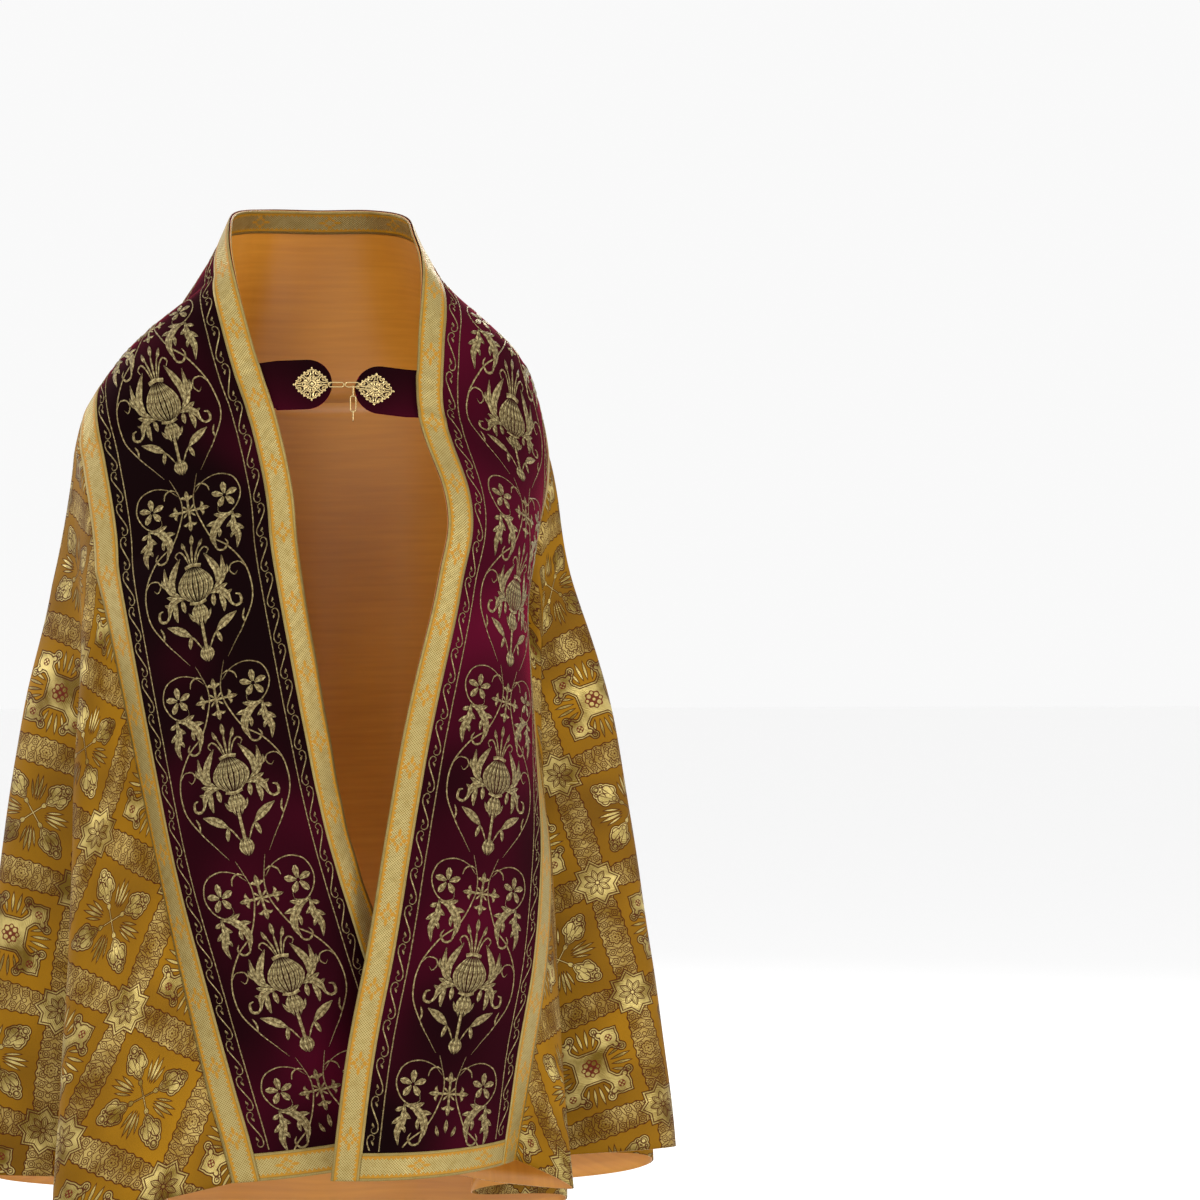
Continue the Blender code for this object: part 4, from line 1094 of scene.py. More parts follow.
    # Leaf cross: four palmettes on crossed stems
    x, y = far_a, b * (LEAF_ARM / LEAF_ARM_HIGH)
    m, n = x.most(y), x.least(y)
    palmette = disc(m, n, 0.0380, 0.0078, 0.0074)
    for spot in ((0.0440, 0.0060, 0.0080), (0.0525, 0.0066, 0.0042), (0.0570, 0.0, 0.0066)):
        palmette = palmette.melt(disc(m, n, *spot), 0.0025)
    palmette = palmette.melt(leaf(m, n, 0.0200, 0.0450, 0.0080), 0.0015)
    draw(palmette, -0.0025)
    fan = n.do("ARCTAN2", m - 0.0205).fold(0.16)
    ribs = fan.line(0.16, 0.022, 0.012) * (palmette + 0.0025).inside(EDGE) * m.do("GREATER_THAN", 0.031)
    lines += [ribs, disc(m, n, 0.0290, 0.0, 0.0028).line(0.0, THIN, EDGE)]
    lines.append(disc(m, n, 0.0560, 0.0, 0.0026).line(0.0, THIN, EDGE))
    stems = (n - 0.0009).most(m - 0.0225).least(leaf(m, n, 0.0130, 0.0225, 0.0030))
    draw(stems, half=THIN)
    rays(m, n, ((0.075, 0.0170, 0.0480, 0.0021), (0.25, 0.0190, 0.0410, 0.0015)))
    return work.give(Thread=most_of(threads), Line=most_of(lines), Heart=hearts)


def weave_group():
    """Height of crossed threads over flat coordinates, with slight unevenness."""
    work = Finish(
        "Weave",
        group=True,
        takes=[("UV", "NodeSocketVector"), ("Pitch", "NodeSocketFloat"), ("Slant", "NodeSocketFloat")],
        gives=[("Height", "NodeSocketFloat"), ("Tone", "NodeSocketFloat")],
    )
    u, v = work.split(work.inside.outputs[0])
    pitch, slant = (work.number(work.inside.outputs[i]) for i in (1, 2))
    across = ((u + v * slant) / pitch * (2 * math.pi)).do("SINE")
    along = (v / pitch * (math.pi * 1.13)).do("SINE")
    tone = work.noise(work.inside.outputs[0], 90.0, 3.0)
    return work.give(Height=across * 0.5 + along * 0.3 + tone, Tone=tone)


def brocade_finish(look, groups):
    work = Finish("Brocade")
    uv = work.uv_vector()
    figure = work.place(groups["brocade"], UV=uv)
    weave = work.place(groups["weave"], UV=uv, Pitch=0.0011, Slant=0.6)
    thread, line, heart = (work.number(figure.outputs[i]) for i in range(3))
    tone = work.number(weave.outputs[1])
    # Painted shade: the ground turns to its shaded colour in random broad patches
    broad = work.noise(uv, 7.0, 2.0)
    ground = work.mix(broad * 2.0 - 0.5, colour(*look.brocade_shade), colour(*look.brocade_ground))
    u, v = work.uv()
    wander = work.noise(uv, 60.0, 1.0) * 0.012
    hatch = ((u + v * 0.8 + wander) * (2 * math.pi / 0.0021)).do("SINE")
    # Painted highlight and shade on the metal thread: the bright colour shows as glints in random patches and
    # along the hatching, and the dull colour shows as thread in shade elsewhere
    light = hatch * 0.22 + tone * 0.9 + work.noise(uv, 24.0, 1.0) * 2.6 - 1.4
    metal = work.mix(light, colour(*look.brocade_thread_painted_shade), colour(*look.brocade_thread_painted_glint))
    drawn = work.mix(heart, colour(*look.brocade_line), colour(*look.brocade_heart))
    shown = work.mix(line * 0.95, work.mix(thread, ground, metal), drawn)
    return work.set(
        Base_Color=shown,
        Metallic=(1 - line) * thread * 0.6,
        Roughness=work.between(thread, 0.60, 0.38) + line * 0.2,
        Specular_IOR_Level=0.08,
        Normal=work.bump(work.number(weave.outputs[0]) + hatch * thread * 1.5 + thread * 3.0, 0.12 * MM, 0.6),
    )


def satin_finish(look, groups):
    work = Finish("Satin")
    weave = work.place(groups["weave"], UV=work.uv_vector(), Pitch=0.0009, Slant=0.3)
    u, v = work.uv()
    streak = work.noise(work.vector(u * 9.0, v * 160.0), 1.0, 3.0)
    broad = work.noise(work.uv_vector(), 5.0, 1.0)
    shown = work.mix(streak * 0.8 + broad * 1.2 - 0.5, colour(*look.satin_shade), colour(*look.satin))
    return work.set(
        Base_Color=shown,
        Roughness=work.between(streak, 0.30, 0.42),
        Specular_IOR_Level=0.6,
        Sheen_Weight=0.1,
        Normal=work.bump(work.number(weave.outputs[0]) * 0.6 + streak, 0.08 * MM, 0.5),
    )


def velvet_finish(look, groups):
    """Velvet with painted light in its colour: lighter over the left chest, in painted shade on the hood."""
    work = Finish("Velvet")
    uv = work.uv_vector()
    pile = work.noise(uv, 900.0, 2.0, 0.7)
    u, v = work.uv()
    # Painted light and shade: the colour grows lighter toward the wearer's left and darker toward the right,
    # as light fell across the front, with random broad patches
    turn = (u * 2.7).do("SINE")
    lay = turn * turn * turn * 0.4 + work.noise(uv, 5.0, 1.0, 0.5) * 1.6 - 0.4
    # Painted shade: the hood, beyond the band, is darker
    lay = (lay - v.do("GREATER_THAN", BAND) * 0.25).most(0.0)
    shown = work.mix(lay * lay, colour(*look.velvet_painted_shade), colour(*look.velvet))
    return work.set(
        Base_Color=shown,
        Roughness=work.between(lay, 0.75, 0.95),
        Specular_IOR_Level=0.03,
        Sheen_Weight=1.0,
        Sheen_Roughness=0.26,
        Sheen_Tint=colour(*look.velvet_sheen),
        Normal=work.bump(pile, 0.5 * MM, 0.5),
    )


BRAID_EDGE = 0.0128
BRAID_FIELD = 0.0092
FLORET_PITCH = 0.086


def galloon_finish(look, groups):
    """Braid: a fine pale lattice with orange florets, between orange bands and twisted rims."""
    work = Finish("Galloon")
    u, v = work.uv()
    across = abs(v - GALLOON / 2)
    lattice = 0.0031
    one, two = (abs(((u + way * v) / lattice).do("FRACT") - 0.5) for way in (1, -1))
    pale = (0.29 - one.most(two)).inside(0.12)
    run = (u - 0.012).fold(FLORET_PITCH / 2)

    def fleck(x, y, wide, high):
        return length((run - x) * (1 / wide), (across - y) * (1 / high)) - 1

    flecks = least_of(
        fleck(*spot)
        for spot in (
            (0.0090, 0, 0.0046, 0.0018),
            (0, 0.0062, 0.0026, 0.0024),
            (0.0042, 0.0034, 0.0021, 0.0015),
        )
    ).inside(0.25)
    dash = ((u / 0.0052).do("FRACT") - 0.5).do("ABSOLUTE")
    band = (BRAID_FIELD - across - (dash - 0.25) * 0.006).inside(EDGE)
    rim = (BRAID_EDGE - across).inside(EDGE)
    rope = ((u + across * 1.5) / 0.0021).do("FRACT")
    orange = (band * (1 - rim)).most(flecks)
    weave = work.place(groups["weave"], UV=work.uv_vector(), Pitch=0.0014, Slant=1.0)
    tone = work.number(weave.outputs[1])
    ground = work.mix(pale, colour(*look.galloon_shade), colour(*look.galloon))
    turns = rope * 0.8 + tone * 0.6 - 0.2
    silk = work.mix(turns, colour(*look.galloon_orange_shade), colour(*look.galloon_orange))
    shown = work.mix(orange, ground, silk)
    shown = work.mix(rim, shown, work.mix(rope, colour(*look.galloon_shade), colour(*look.galloon)))
    shown = work.mix(across.line(BRAID_EDGE, THIN, EDGE) * 0.7, shown, colour(*look.galloon_shade))
    height = pale * 0.6 + rope * band * 0.6 + work.number(weave.outputs[0]) * 0.3
    return work.set(
        Base_Color=work.mix((tone - 0.45) * 1.2, shown, colour(*look.galloon_shade)),
        Metallic=(1 - orange) * 0.55 + 0.05,
        Roughness=work.between(pale, 0.48, 0.36),
        Specular_IOR_Level=0.25,
        Normal=work.bump(height, 0.35 * MM, 0.8),
    )


def thread_finish(name, light, dark, metallic):
    """Satin stitched thread; its UV runs along and across each stroke, a metre aside where it is veined."""
    work = Finish(name)
    u, v = work.uv()
    wide = v.do("GREATER_THAN", 0.5)
    v = v - wide
    strand = ((u + abs(v) * 0.9) / 0.0009 * (2 * math.pi)).do("SINE")
    vein = v.line(0.0, 0.3 * MM, 0.1 * MM) * wide
    tone = work.noise(work.vector(u, v), 260.0, 2.0)
    # Painted highlight and shade: each stroke's random tone and its thread lines mix in the light colour as
    # glints and the dark colour as shade, darkest between threads
    shown = work.mix(tone * 2.2 + strand * 0.35 - 0.85, colour(*dark), colour(*light))
    return work.set(
        Base_Color=work.mix(vein * 0.8, shown, colour(*(share * 0.25 for share in dark))),
        Metallic=metallic,
        Roughness=work.between(tone, 0.45, 0.32),
        Normal=work.bump(strand * 0.6 - vein * 2.0, 0.2 * MM, 0.9),
    )


def fringe_finish(look, groups):
    """Twisted cord; its UV runs along and round each strand."""
    work = Finish("Bullion")
    u, v = work.uv()
    twist = ((u * (1 / 0.0030) + v * (1 / (2 * math.pi * STRAND_HALF))) * (2 * math.pi)).do("SINE")
    tone = work.noise(work.vector(u, v * 0.2), 70.0, 3.0)
    # Partly painted light: the twist puts a painted highlight and painted shade on each turn of a strand, and
    # random tone darkens stretches of strands
    light = twist * 0.5 + tone * 1.8 - 0.5
    return work.set(
        Base_Color=work.mix(light, colour(*look.fringe_shade), colour(*look.fringe)),
        Metallic=0.45,
        Roughness=0.40,
        Normal=work.bump(twist, 0.35 * MM, 0.9),
    )


def metal_finish(look, groups):
    work = Finish("Gilt metal")
    tone = work.noise(work.uv_vector(), 300.0, 2.0)
    return work.set(
        Base_Color=work.mix(tone, colour(*look.metal_shade), colour(*look.metal)),
        Metallic=1.0,
        Roughness=work.between(tone, 0.18, 0.34),
    )


def linear(text):
    """A linear colour from a hex code."""
    shares = [int(text[i : i + 2], 16) / 255 for i in (0, 2, 4)]
    return tuple(s / 12.92 if s <= 0.04045 else ((s + 0.055) / 1.055) ** 2.4 for s in shares)


def colour_setting(name, description, text):
    return bpy.props.FloatVectorProperty(
        name=name, description=description, subtype="COLOR", size=3, min=0, max=1, default=linear(text)
    )


class CopeLook(bpy.types.PropertyGroup):
    """Colours of the cope's cloths, threads and metal."""

    brocade_ground: colour_setting("Brocade ground", "Satin ground of the brocade", "986A08")
    # The ground shade is the ground in painted shade
    brocade_shade: colour_setting("Brocade ground shade", "Ground where it turns darker", "644204")
    # The thread colour is the metal's painted glint and the thread shade is the metal in painted shade
    brocade_thread_painted_glint: colour_setting("Brocade thread", "Metal thread of its figure", "CCB670")
    brocade_thread_painted_shade: colour_setting("Brocade thread shade", "Its duller thread", "685018")
    brocade_line: colour_setting("Brocade lines", "Dark lines that draw the figure", "441802")
    brocade_heart: colour_setting("Brocade hearts", "Red of the hearts in its crosses", "5E180C")
    satin: colour_setting("Lining", "Satin lining", "D8942E")
    satin_shade: colour_setting("Lining shade", "Lining where it turns darker", "B4701A")
    # The velvet colour is the velvet where lit; its painted shade is mixed in by the painted light of the
    # velvet finish
    velvet: colour_setting("Velvet", "Velvet of the orphrey and hood", "540922")
    velvet_painted_shade: colour_setting("Velvet depth", "Velvet where its pile stands up", "0C0102")
    velvet_sheen: colour_setting("Velvet sheen", "Light caught by the tips of the pile", "B01E42")
    galloon: colour_setting("Galloon", "Pale metal thread of the braid", "AE9E68")
    galloon_shade: colour_setting("Galloon shade", "Gaps of the braid's lattice", "7A5E18")
    galloon_orange: colour_setting("Galloon orange", "Silk edges and florets of the braid", "C08A14")
    galloon_orange_shade: colour_setting("Galloon orange shade", "Turns of that silk", "96620C")
    # Each thread's colour is its painted glint and its shade colour is the thread in painted shade; the
    # thread finish mixes them
    thread: colour_setting("Embroidery thread", "Metal thread of the embroidery", "DACA90")
    thread_shade: colour_setting("Embroidery thread shade", "Its duller thread", "523A18")
    rose_thread: colour_setting("Rose thread", "Dull thread of the hood's sprays", "8A4A52")
    rose_thread_shade: colour_setting("Rose thread shade", "Its duller thread", "4E222A")
    white_thread: colour_setting("White thread", "Silk of the hood's cross", "E6E4E8")
    white_thread_shade: colour_setting("White thread shade", "Its duller thread", "A8A6B0")
    red_thread: colour_setting("Red thread", "Silk of the rays of that cross", "B81418")
    red_thread_shade: colour_setting("Red thread shade", "Its duller thread", "6E0A0E")
    # The fringe colour is partly a painted highlight; its shade is partly painted shade between turns and
    # partly random darker strands
    fringe: colour_setting("Fringe", "Bullion of the fringe", "B0966A")
    fringe_shade: colour_setting("Fringe shade", "Its darker strands", "3C2A12")
    metal: colour_setting("Clasp", "Gilt metal of the clasp", "E6CF98")
    metal_shade: colour_setting("Clasp shade", "Worn metal of the clasp", "A88C54")


def size_setting(name, description, size):
    return bpy.props.FloatProperty(name=name, description=description, default=size, unit="LENGTH")


class CopeSizes(bpy.types.PropertyGroup):
    """Sizes of the cope's ornament and of its stage."""

    repeat_wide: size_setting("Brocade repeat, wide", "Width of the brocade's repeat", 0.216)
    repeat_high: size_setting("Brocade repeat, high", "Height of the brocade's repeat", 0.195)
    motif_pitch: size_setting("Motif pitch", "From motif to motif along the orphrey", 0.236)
    scroll_pitch: size_setting("Scroll pitch", "From scroll to scroll along its borders", 0.044)
    fringe_length: size_setting("Fringe length", "How far the fringe hangs below the hood", 0.048)
    fringe_pitch: size_setting("Fringe pitch", "From strand to strand of the fringe", 0.0034)
    floor_level: size_setting("Floor", "Height of the floor", -1.45)


FINISHES = {}
THREADS = {"thread": 0.8, "rose_thread": 0.3, "white_thread": 0.0, "red_thread": 0.0}  # how metallic each is


def finishes():
    """The cope's materials, made at first use."""
    if not FINISHES:
        look, sizes = bpy.context.scene.cope_look, bpy.context.scene.cope
        groups = {"brocade": brocade_group(sizes.repeat_wide, sizes.repeat_high), "weave": weave_group()}
        for name, make in (
            ("brocade", brocade_finish),
            ("satin", satin_finish),
            ("velvet", velvet_finish),
            ("galloon", galloon_finish),
            ("fringe", fringe_finish),
            ("metal", metal_finish),
        ):
            FINISHES[name] = make(look, groups)
        for name, metallic in THREADS.items():
            light, dark = getattr(look, name), getattr(look, name + "_shade")
            FINISHES[name] = thread_finish(name.replace("_", " ").capitalize(), light, dark, metallic)
    return FINISHES


class COPE_OT_brocade(bpy.types.Operator):
    """Lay the brocade of the right side, the back and the left side"""

    bl_idname = "cope.brocade"
    bl_label = "Brocade"

    def execute(self, context):
        first, second = SKIRT.shoulder_lines
        for name, start, end, columns in (
            ("right_side", 0, first, 140),
            ("back", first, second, 90),
            ("left_side", second, SKIRT.last, 140),
        ):
            form = skirt_patch(start, end, columns, 110, BROCADE_HIGH)
            lay_cloth(f"Brocade_{name}", form, "brocade", BROCADE_HIGH - BROCADE_LOW, f"body_{name}")
        return {"FINISHED"}


class COPE_OT_lining(bpy.types.Operator):
    """Lay the satin lining under the whole half circle"""

    bl_idname = "cope.lining"
    bl_label = "Lining"

    def execute(self, context):
        first, second = SKIRT.shoulder_lines
        forms = [
            skirt_patch(0, first, 140, 55, LINING_HIGH),
            skirt_patch(first, second, 90, 55, LINING_HIGH),
            skirt_patch(second, SKIRT.last, 140, 55, LINING_HIGH),
            band_patch(-1, 1, 0, BAND, 400, 10, LINING_HIGH),
        ]
        form = joined(forms)
        bmesh.ops.remove_doubles(form, verts=form.verts, dist=LINING_WELD)
        lay_cloth("Lining", form, "satin", LINING_HIGH - LINING_LOW)
        return {"FINISHED"}


class COPE_OT_orphrey(bpy.types.Operator):
    """Lay the velvet of the orphrey's two sides"""

    bl_idname = "cope.orphrey"
    bl_label = "Orphrey velvet"

    def execute(self, context):
        for side, name in SIDES:
            form = band_patch(*sorted((0, side)), 0, BAND, 420, 24, VELVET_HIGH)
            lay_cloth(f"Orphrey_{name}", form, "velvet", VELVET_HIGH - VELVET_LOW)
        return {"FINISHED"}


def braid_crown(share):
    """A braid's section: rounded down at its two edges."""
    return -0.5 * MM * np.abs(2 * share - 1) ** 6


class COPE_OT_galloons(bpy.types.Operator):
    """Lay the braids along the front edges, the orphrey's outer edges, the hem and the centre back"""

    bl_idname = "cope.galloons"
    bl_label = "Galloons"

    def execute(self, context):
        braids = {}
        for side, name in SIDES:
            for edge, low in (("Front", 0), ("Outer", BAND - GALLOON)):
                ends = sorted((0, side))
                strip = band_patch(*ends, low, low + GALLOON, 420, 8, BRAID_HIGH, True, braid_crown)
                braids[f"{edge}_galloon_{name}"] = strip
            braids[f"Hem_galloon_{name}"] = self.cross_braid(side)
        braids["Centre_back_galloon"] = self.cross_braid(0)
        neck = band_patch(-NECK_BRAID_SHARE, NECK_BRAID_SHARE, 0, GALLOON, 200, 8, NECK_BRAID_FACE, True)
        bmesh.ops.reverse_faces(neck, faces=neck.faces)
        braids["Neck_galloon_inside"] = neck
        for name, form in braids.items():
            lay_cloth(name, form, "galloon", BRAID_HIGH - BRAID_LOW)
        return {"FINISHED"}

    @staticmethod
    def cross_braid(side):
        """A braid across the band, from galloon to galloon: at a side's hem, or for side 0 in the middle."""

        def place(across, along):
            y = GALLOON + (BAND - 2 * GALLOON) * along
            share = 1 - across if side > 0 else across
            hem_x = side * (np.sqrt(RADIUS**2 - y**2) - GALLOON * share)
            x = hem_x if side else GALLOON * (across - 0.5)
            points = on_band(x, y, BRAID_HIGH + braid_crown(across))
            return points, np.stack([y, GALLOON * share], axis=-1)

        return cloth_patch(8, 120, place)


class COPE_OT_embroidery(bpy.types.Operator):
    """Stitch the orphrey's motifs and border scrolls on the velvet of both sides"""

    bl_idname = "cope.embroidery"
    bl_label = "Orphrey embroidery"

    def execute(self, context):
        sizes = context.scene.cope
        for side, name in SIDES:
            work = Stitching(on_band, VELVET_HIGH)
            limit = math.sqrt(RADIUS**2 - (BAND / 2) ** 2) - GALLOON - 2 * MM
            for repeat in range(math.ceil(limit / sizes.motif_pitch)):
                start = MOTIF_START + repeat * sizes.motif_pitch
                for mirror, table in ((1, MOTIF_PAIRS), (-1, MOTIF_PAIRS), (1, MOTIF_MIDDLE)):

                    def motif(path):
                        x = side * (start + (MOTIF_TOP * CM - path[:, 1]) * MOTIF_STRETCH)
                        return np.stack([x, BAND / 2 + mirror * path[:, 0]], axis=-1)

                    work.strokes(table, motif, limit)
            self.border(work, side, GALLOON + SCROLL_MIDDLE * CM, 1, sizes.scroll_pitch)
            self.border(work, side, BAND - GALLOON - SCROLL_MIDDLE * CM, -1, sizes.scroll_pitch)
            work.finish(f"Orphrey_embroidery_{name}", finishes()["thread"])
        return {"FINISHED"}

    @staticmethod
    def border(work, side, middle, inward, pitch):
        limit = math.sqrt(RADIUS**2 - middle**2) - GALLOON - 2 * MM
        for repeat in range(math.ceil(limit / pitch)):
            start = SCROLL_START + repeat * pitch

            def scroll(path):
                return np.stack([side * (start + path[:, 0]), middle + inward * path[:, 1]], axis=-1)

            work.strokes(SCROLL, scroll, limit)
        edge = middle + inward * SCROLL_MIDDLE * CM
        along = np.linspace(GALLOON / 2 + 0.001, limit, 40)
        work.stroke(EVEN, 0.7 * MM, np.stack([side * along, edge + 0 * along], axis=-1))


def hood_edge(grow, steps):
    """Flat points down one free side of the hood, round both corners and up the other side."""
    half, radius = HOOD_HALF_WIDTH, HOOD_CORNER
    side = HOOD_LENGTH - radius
    straight = half - radius
    turn = 0.5 * math.pi * radius
    marks = np.cumsum([0, side, turn, 2 * straight, turn, side])
    run = np.linspace(0, marks[-1], steps + 1)
    corner = HOOD_TOP + side
    none, first, second = 0 * run, (run - marks[1]) / radius, (run - marks[3]) / radius
    cos, sin = np.cos, np.sin
    stretches = (
        # x, y, and the way out
        (none - half, HOOD_TOP + run, none - 1, none),
        (-straight - radius * cos(first), corner + radius * sin(first), -cos(first), sin(first)),
        (run - marks[2] - straight, corner + radius + none, none, none + 1),
        (straight + radius * sin(second), corner + radius * cos(second), sin(second), cos(second)),
        (none + half, HOOD_TOP + marks[5] - run, none + 1, none),
    )
    number = np.clip(np.searchsorted(marks, run, side="right") - 1, 0, 4)
    x, y, out_x, out_y = (np.choose(number, values) for values in zip(*stretches))
    return x + out_x * grow, y + out_y * grow, run, out_x, out_y


class COPE_OT_hood(bpy.types.Operator):
    """Lay the hood's velvet and the braid round its free sides"""

    bl_idname = "cope.hood"
    bl_label = "Hood"

    def execute(self, context):
        form, shares = grid_shares(90, 80)
        across, down = shares[..., 0] * 2 - 1, shares[..., 1]
        y = HOOD_TOP + HOOD_LENGTH * down
        low = np.clip((y - HOOD_TOP - HOOD_LENGTH + HOOD_CORNER) / HOOD_CORNER, 0, 1)
        half = HOOD_HALF_WIDTH - HOOD_CORNER * (1 - np.sqrt(1 - low**2))
        x = across * (half + 2 * MM)
        put(form, on_hood(x, y, HOOD_CLOTH + 0 * x), np.stack([x, y], axis=-1))
        lay_cloth("Hood", form, "velvet", HOOD_CLOTH * 0.8)
        steps = 260

        def braid(along, across):
            mark = np.rint(along * steps).astype(int)
            near_x, near_y, run, out_x, out_y = (values[mark] for values in hood_edge(0.0, steps))
            x = near_x + out_x * (across * HOOD_GALLOON)
            y = near_y + out_y * (across * HOOD_GALLOON)
            points = on_hood(x, y, HOOD_CLOTH + 1.0 * MM + braid_crown(across))
            return points, np.stack([run, across * GALLOON], axis=-1)

        lay_cloth("Hood_galloon", cloth_patch(steps, 8, braid), "galloon", 1.2 * MM)
        return {"FINISHED"}


def arc(x, y, radius, start, end, count=13):
    """Points of an arc, in degrees; sizes in cm."""
    turn = np.radians(np.linspace(start, end, count))
    return np.stack([x + radius * np.cos(turn), y + radius * np.sin(turn)], axis=-1) * CM


class COPE_OT_medallion(bpy.types.Operator):
    """Stitch the hood's medallion: a cross in a rosette of eight lobes, with sprays round it"""

    bl_idname = "cope.medallion"
    bl_label = "Medallion"

    def execute(self, context):
        gold, rose, white, red = (Stitching(on_hood, HOOD_CLOTH - 0.1 * MM) for _ in range(4))
        for radius, half in ((7.3, 0.6), (9.0, 0.8), (1.05, 0.9)):
            gold.stroke(EVEN, half * MM, self.turned(0)(arc(0, 0, radius, 0, 360, 49)))
        for ray in range(RAYS):
            width, place = 1.7 if ray % 2 else 1.0, self.turned(ray * 360 / RAYS)
            gold.strokes(((PETAL, width, 0, 7.6, 0, 8.1, 0, 8.7),), place)
            gold.strokes(((PETAL, 1.0, 0, 5.9, 0, 6.2),), self.turned((ray + 0.5) * 360 / RAYS))
        for lobe in range(LOBES):
            here, between = lobe * 360 / LOBES, (lobe + 0.5) * 360 / LOBES
            place = self.turned(here)
            gold.stroke(EVEN, 0.7 * MM, place(arc(0, 12.5, 4.95, -8, 188, 25)))
            gold.stroke(EVEN, 0.6 * MM, place(arc(0, 12.5, 4.05, -10, 190, 25)))
            for turn in range(0, 181, 18):
                dot = np.concatenate([arc(0, 12.5, reach, turn, turn, 1) for reach in (4.35, 4.5, 4.68)])
                gold.stroke(PETAL, 0.8 * MM, place(dot))
            self.both(gold, LOBE_PAIRS, LOBE_MIDDLE, here)
            scale, out = (1.15, 18.2) if lobe % 2 else (0.86, 17.9)
            self.both(rose, SPRAY_PAIRS, SPRAY_MIDDLE, here, out, scale)
            self.both(rose, SPRAY_PAIRS[3:4], (), between, 11.6, 0.8)
            rose.strokes(((LEAF, 2.0, 0, 13.4, 0, 14.4, 0, 15.6),), self.turned(between))
        for arm in (0, 90, 180, 270):
            white.strokes(((FLARE, 13.0, 0, 1.2, 0, 2.4, 0, 3.6, 0, 4.8),), self.turned(arm))
            self.both(gold, CROSS_PAIRS, (), arm)
            red.strokes(((LEAF, 3.2, 0, 1.5, 0, 3.0, 0, 4.9),), self.turned(arm + 45))
            red.strokes(((PETAL, 2.0, 0, 0.1, 0, 0.4, 0, 0.8),), self.turned(arm))
        for work, thread in zip((gold, rose, white, red), THREADS):
            work.finish(f"Medallion_{thread}", finishes()[thread])
        return {"FINISHED"}

    @staticmethod
    def turned(degrees, mirror=1, out=0.0, scale=1.0):
        """Puts medallion points on the hood, turned about its middle."""
        turn = math.radians(degrees)

        def place(path):
            x, y = mirror * path[:, 0] * scale, path[:, 1] * scale + out * CM
            across = x * math.cos(turn) + y * math.sin(turn)
            up = y * math.cos(turn) - x * math.sin(turn)
            return np.stack([across, HOOD_TOP + MEDALLION_DOWN - up], axis=-1)

        return place

    def both(self, work, pairs, middle, degrees, out=0.0, scale=1.0):
        for mirror, table in ((1, pairs), (-1, pairs), (1, middle)):
            work.strokes(table, self.turned(degrees, mirror, out, scale))


class COPE_OT_fringe(bpy.types.Operator):
    """Hang the bullion fringe from the hood's free sides"""

    bl_idname = "cope.fringe"
    bl_label = "Fringe"

    def execute(self, context):
        sizes = context.scene.cope
        x, y, run, out_x, out_y = hood_edge(HOOD_GALLOON - 2 * MM, 2400)
        way = np.concatenate([[0], np.cumsum(np.hypot(np.diff(x), np.diff(y)))])
        count = round(way[-1] / sizes.fringe_pitch)
        chance = np.random.default_rng(7)
        step = np.linspace(0, 1, STRAND_STEPS + 1)[:, None]
        turn = np.linspace(0, 2 * math.pi, STRAND_SIDES + 1) + step * STRAND_TWIST
        form = bmesh.new()
        flats, heights, threads = [], [], []
        for strand in range(count):
            at = (strand + 0.5) / count * way[-1]
            root_x, root_y, nx, ny = (np.interp(at, way, values) for values in (x, y, out_x, out_y))
            lean = np.array([nx + chance.normal(0, 0.05), ny + FRINGE_HANG])
            lean = lean / np.linalg.norm(lean)
            reach = (sizes.fringe_length + 2 * MM) * (1 + chance.uniform(-0.06, 0.02))
            bend = chance.normal(0, 0.6 * MM)
            layer = (0.9 + 1.1 * (strand % 2)) * MM
            thick = STRAND_HALF * np.interp(step, (0, 0.04, 0.9, 1), (0.3, 1, 1.08, 0.25))
            aside = np.cos(turn) * thick + bend * np.sin(3.0 * step)
            x_along = root_x + lean[0] * reach * step - lean[1] * aside
            y_along = root_y + lean[1] * reach * step + lean[0] * aside
            flats.append(np.stack([x_along, y_along], axis=-1))
            heights.append(layer + np.sin(turn) * thick + 0.6 * MM * step)
            threads.append(np.stack([step * reach + strand * 0.1 + 0 * turn, turn * STRAND_HALF], axis=-1))
            bmesh.ops.create_grid(form, x_segments=STRAND_SIDES, y_segments=STRAND_STEPS, size=1)
        flat = np.reshape(flats, (-1, 2))
        put(form, on_hood(flat[:, 0], flat[:, 1], np.ravel(heights)), np.reshape(threads, (-1, 2)))
        bmesh.ops.remove_doubles(form, verts=form.verts, dist=WELD)
        open_ends = [edge for edge in form.edges if edge.is_boundary]
        bmesh.ops.holes_fill(form, edges=open_ends, sides=STRAND_SIDES)
        bmesh.ops.recalc_face_normals(form, faces=form.faces)
        piece = finish_piece("Hood_fringe", form, finishes()["fringe"])
        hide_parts("hood_fringe")
        heading = Stitching(on_hood, 0.8 * MM)
        for grow in (1.4, 3.6):
            x, y, *_ = hood_edge(HOOD_GALLOON + grow * MM, 60)
            heading.stroke(EVEN, 1.3 * MM, np.stack([x, y], axis=-1))
        heading.finish("Fringe_heading", finishes()["fringe"])
        return {"FINISHED"}


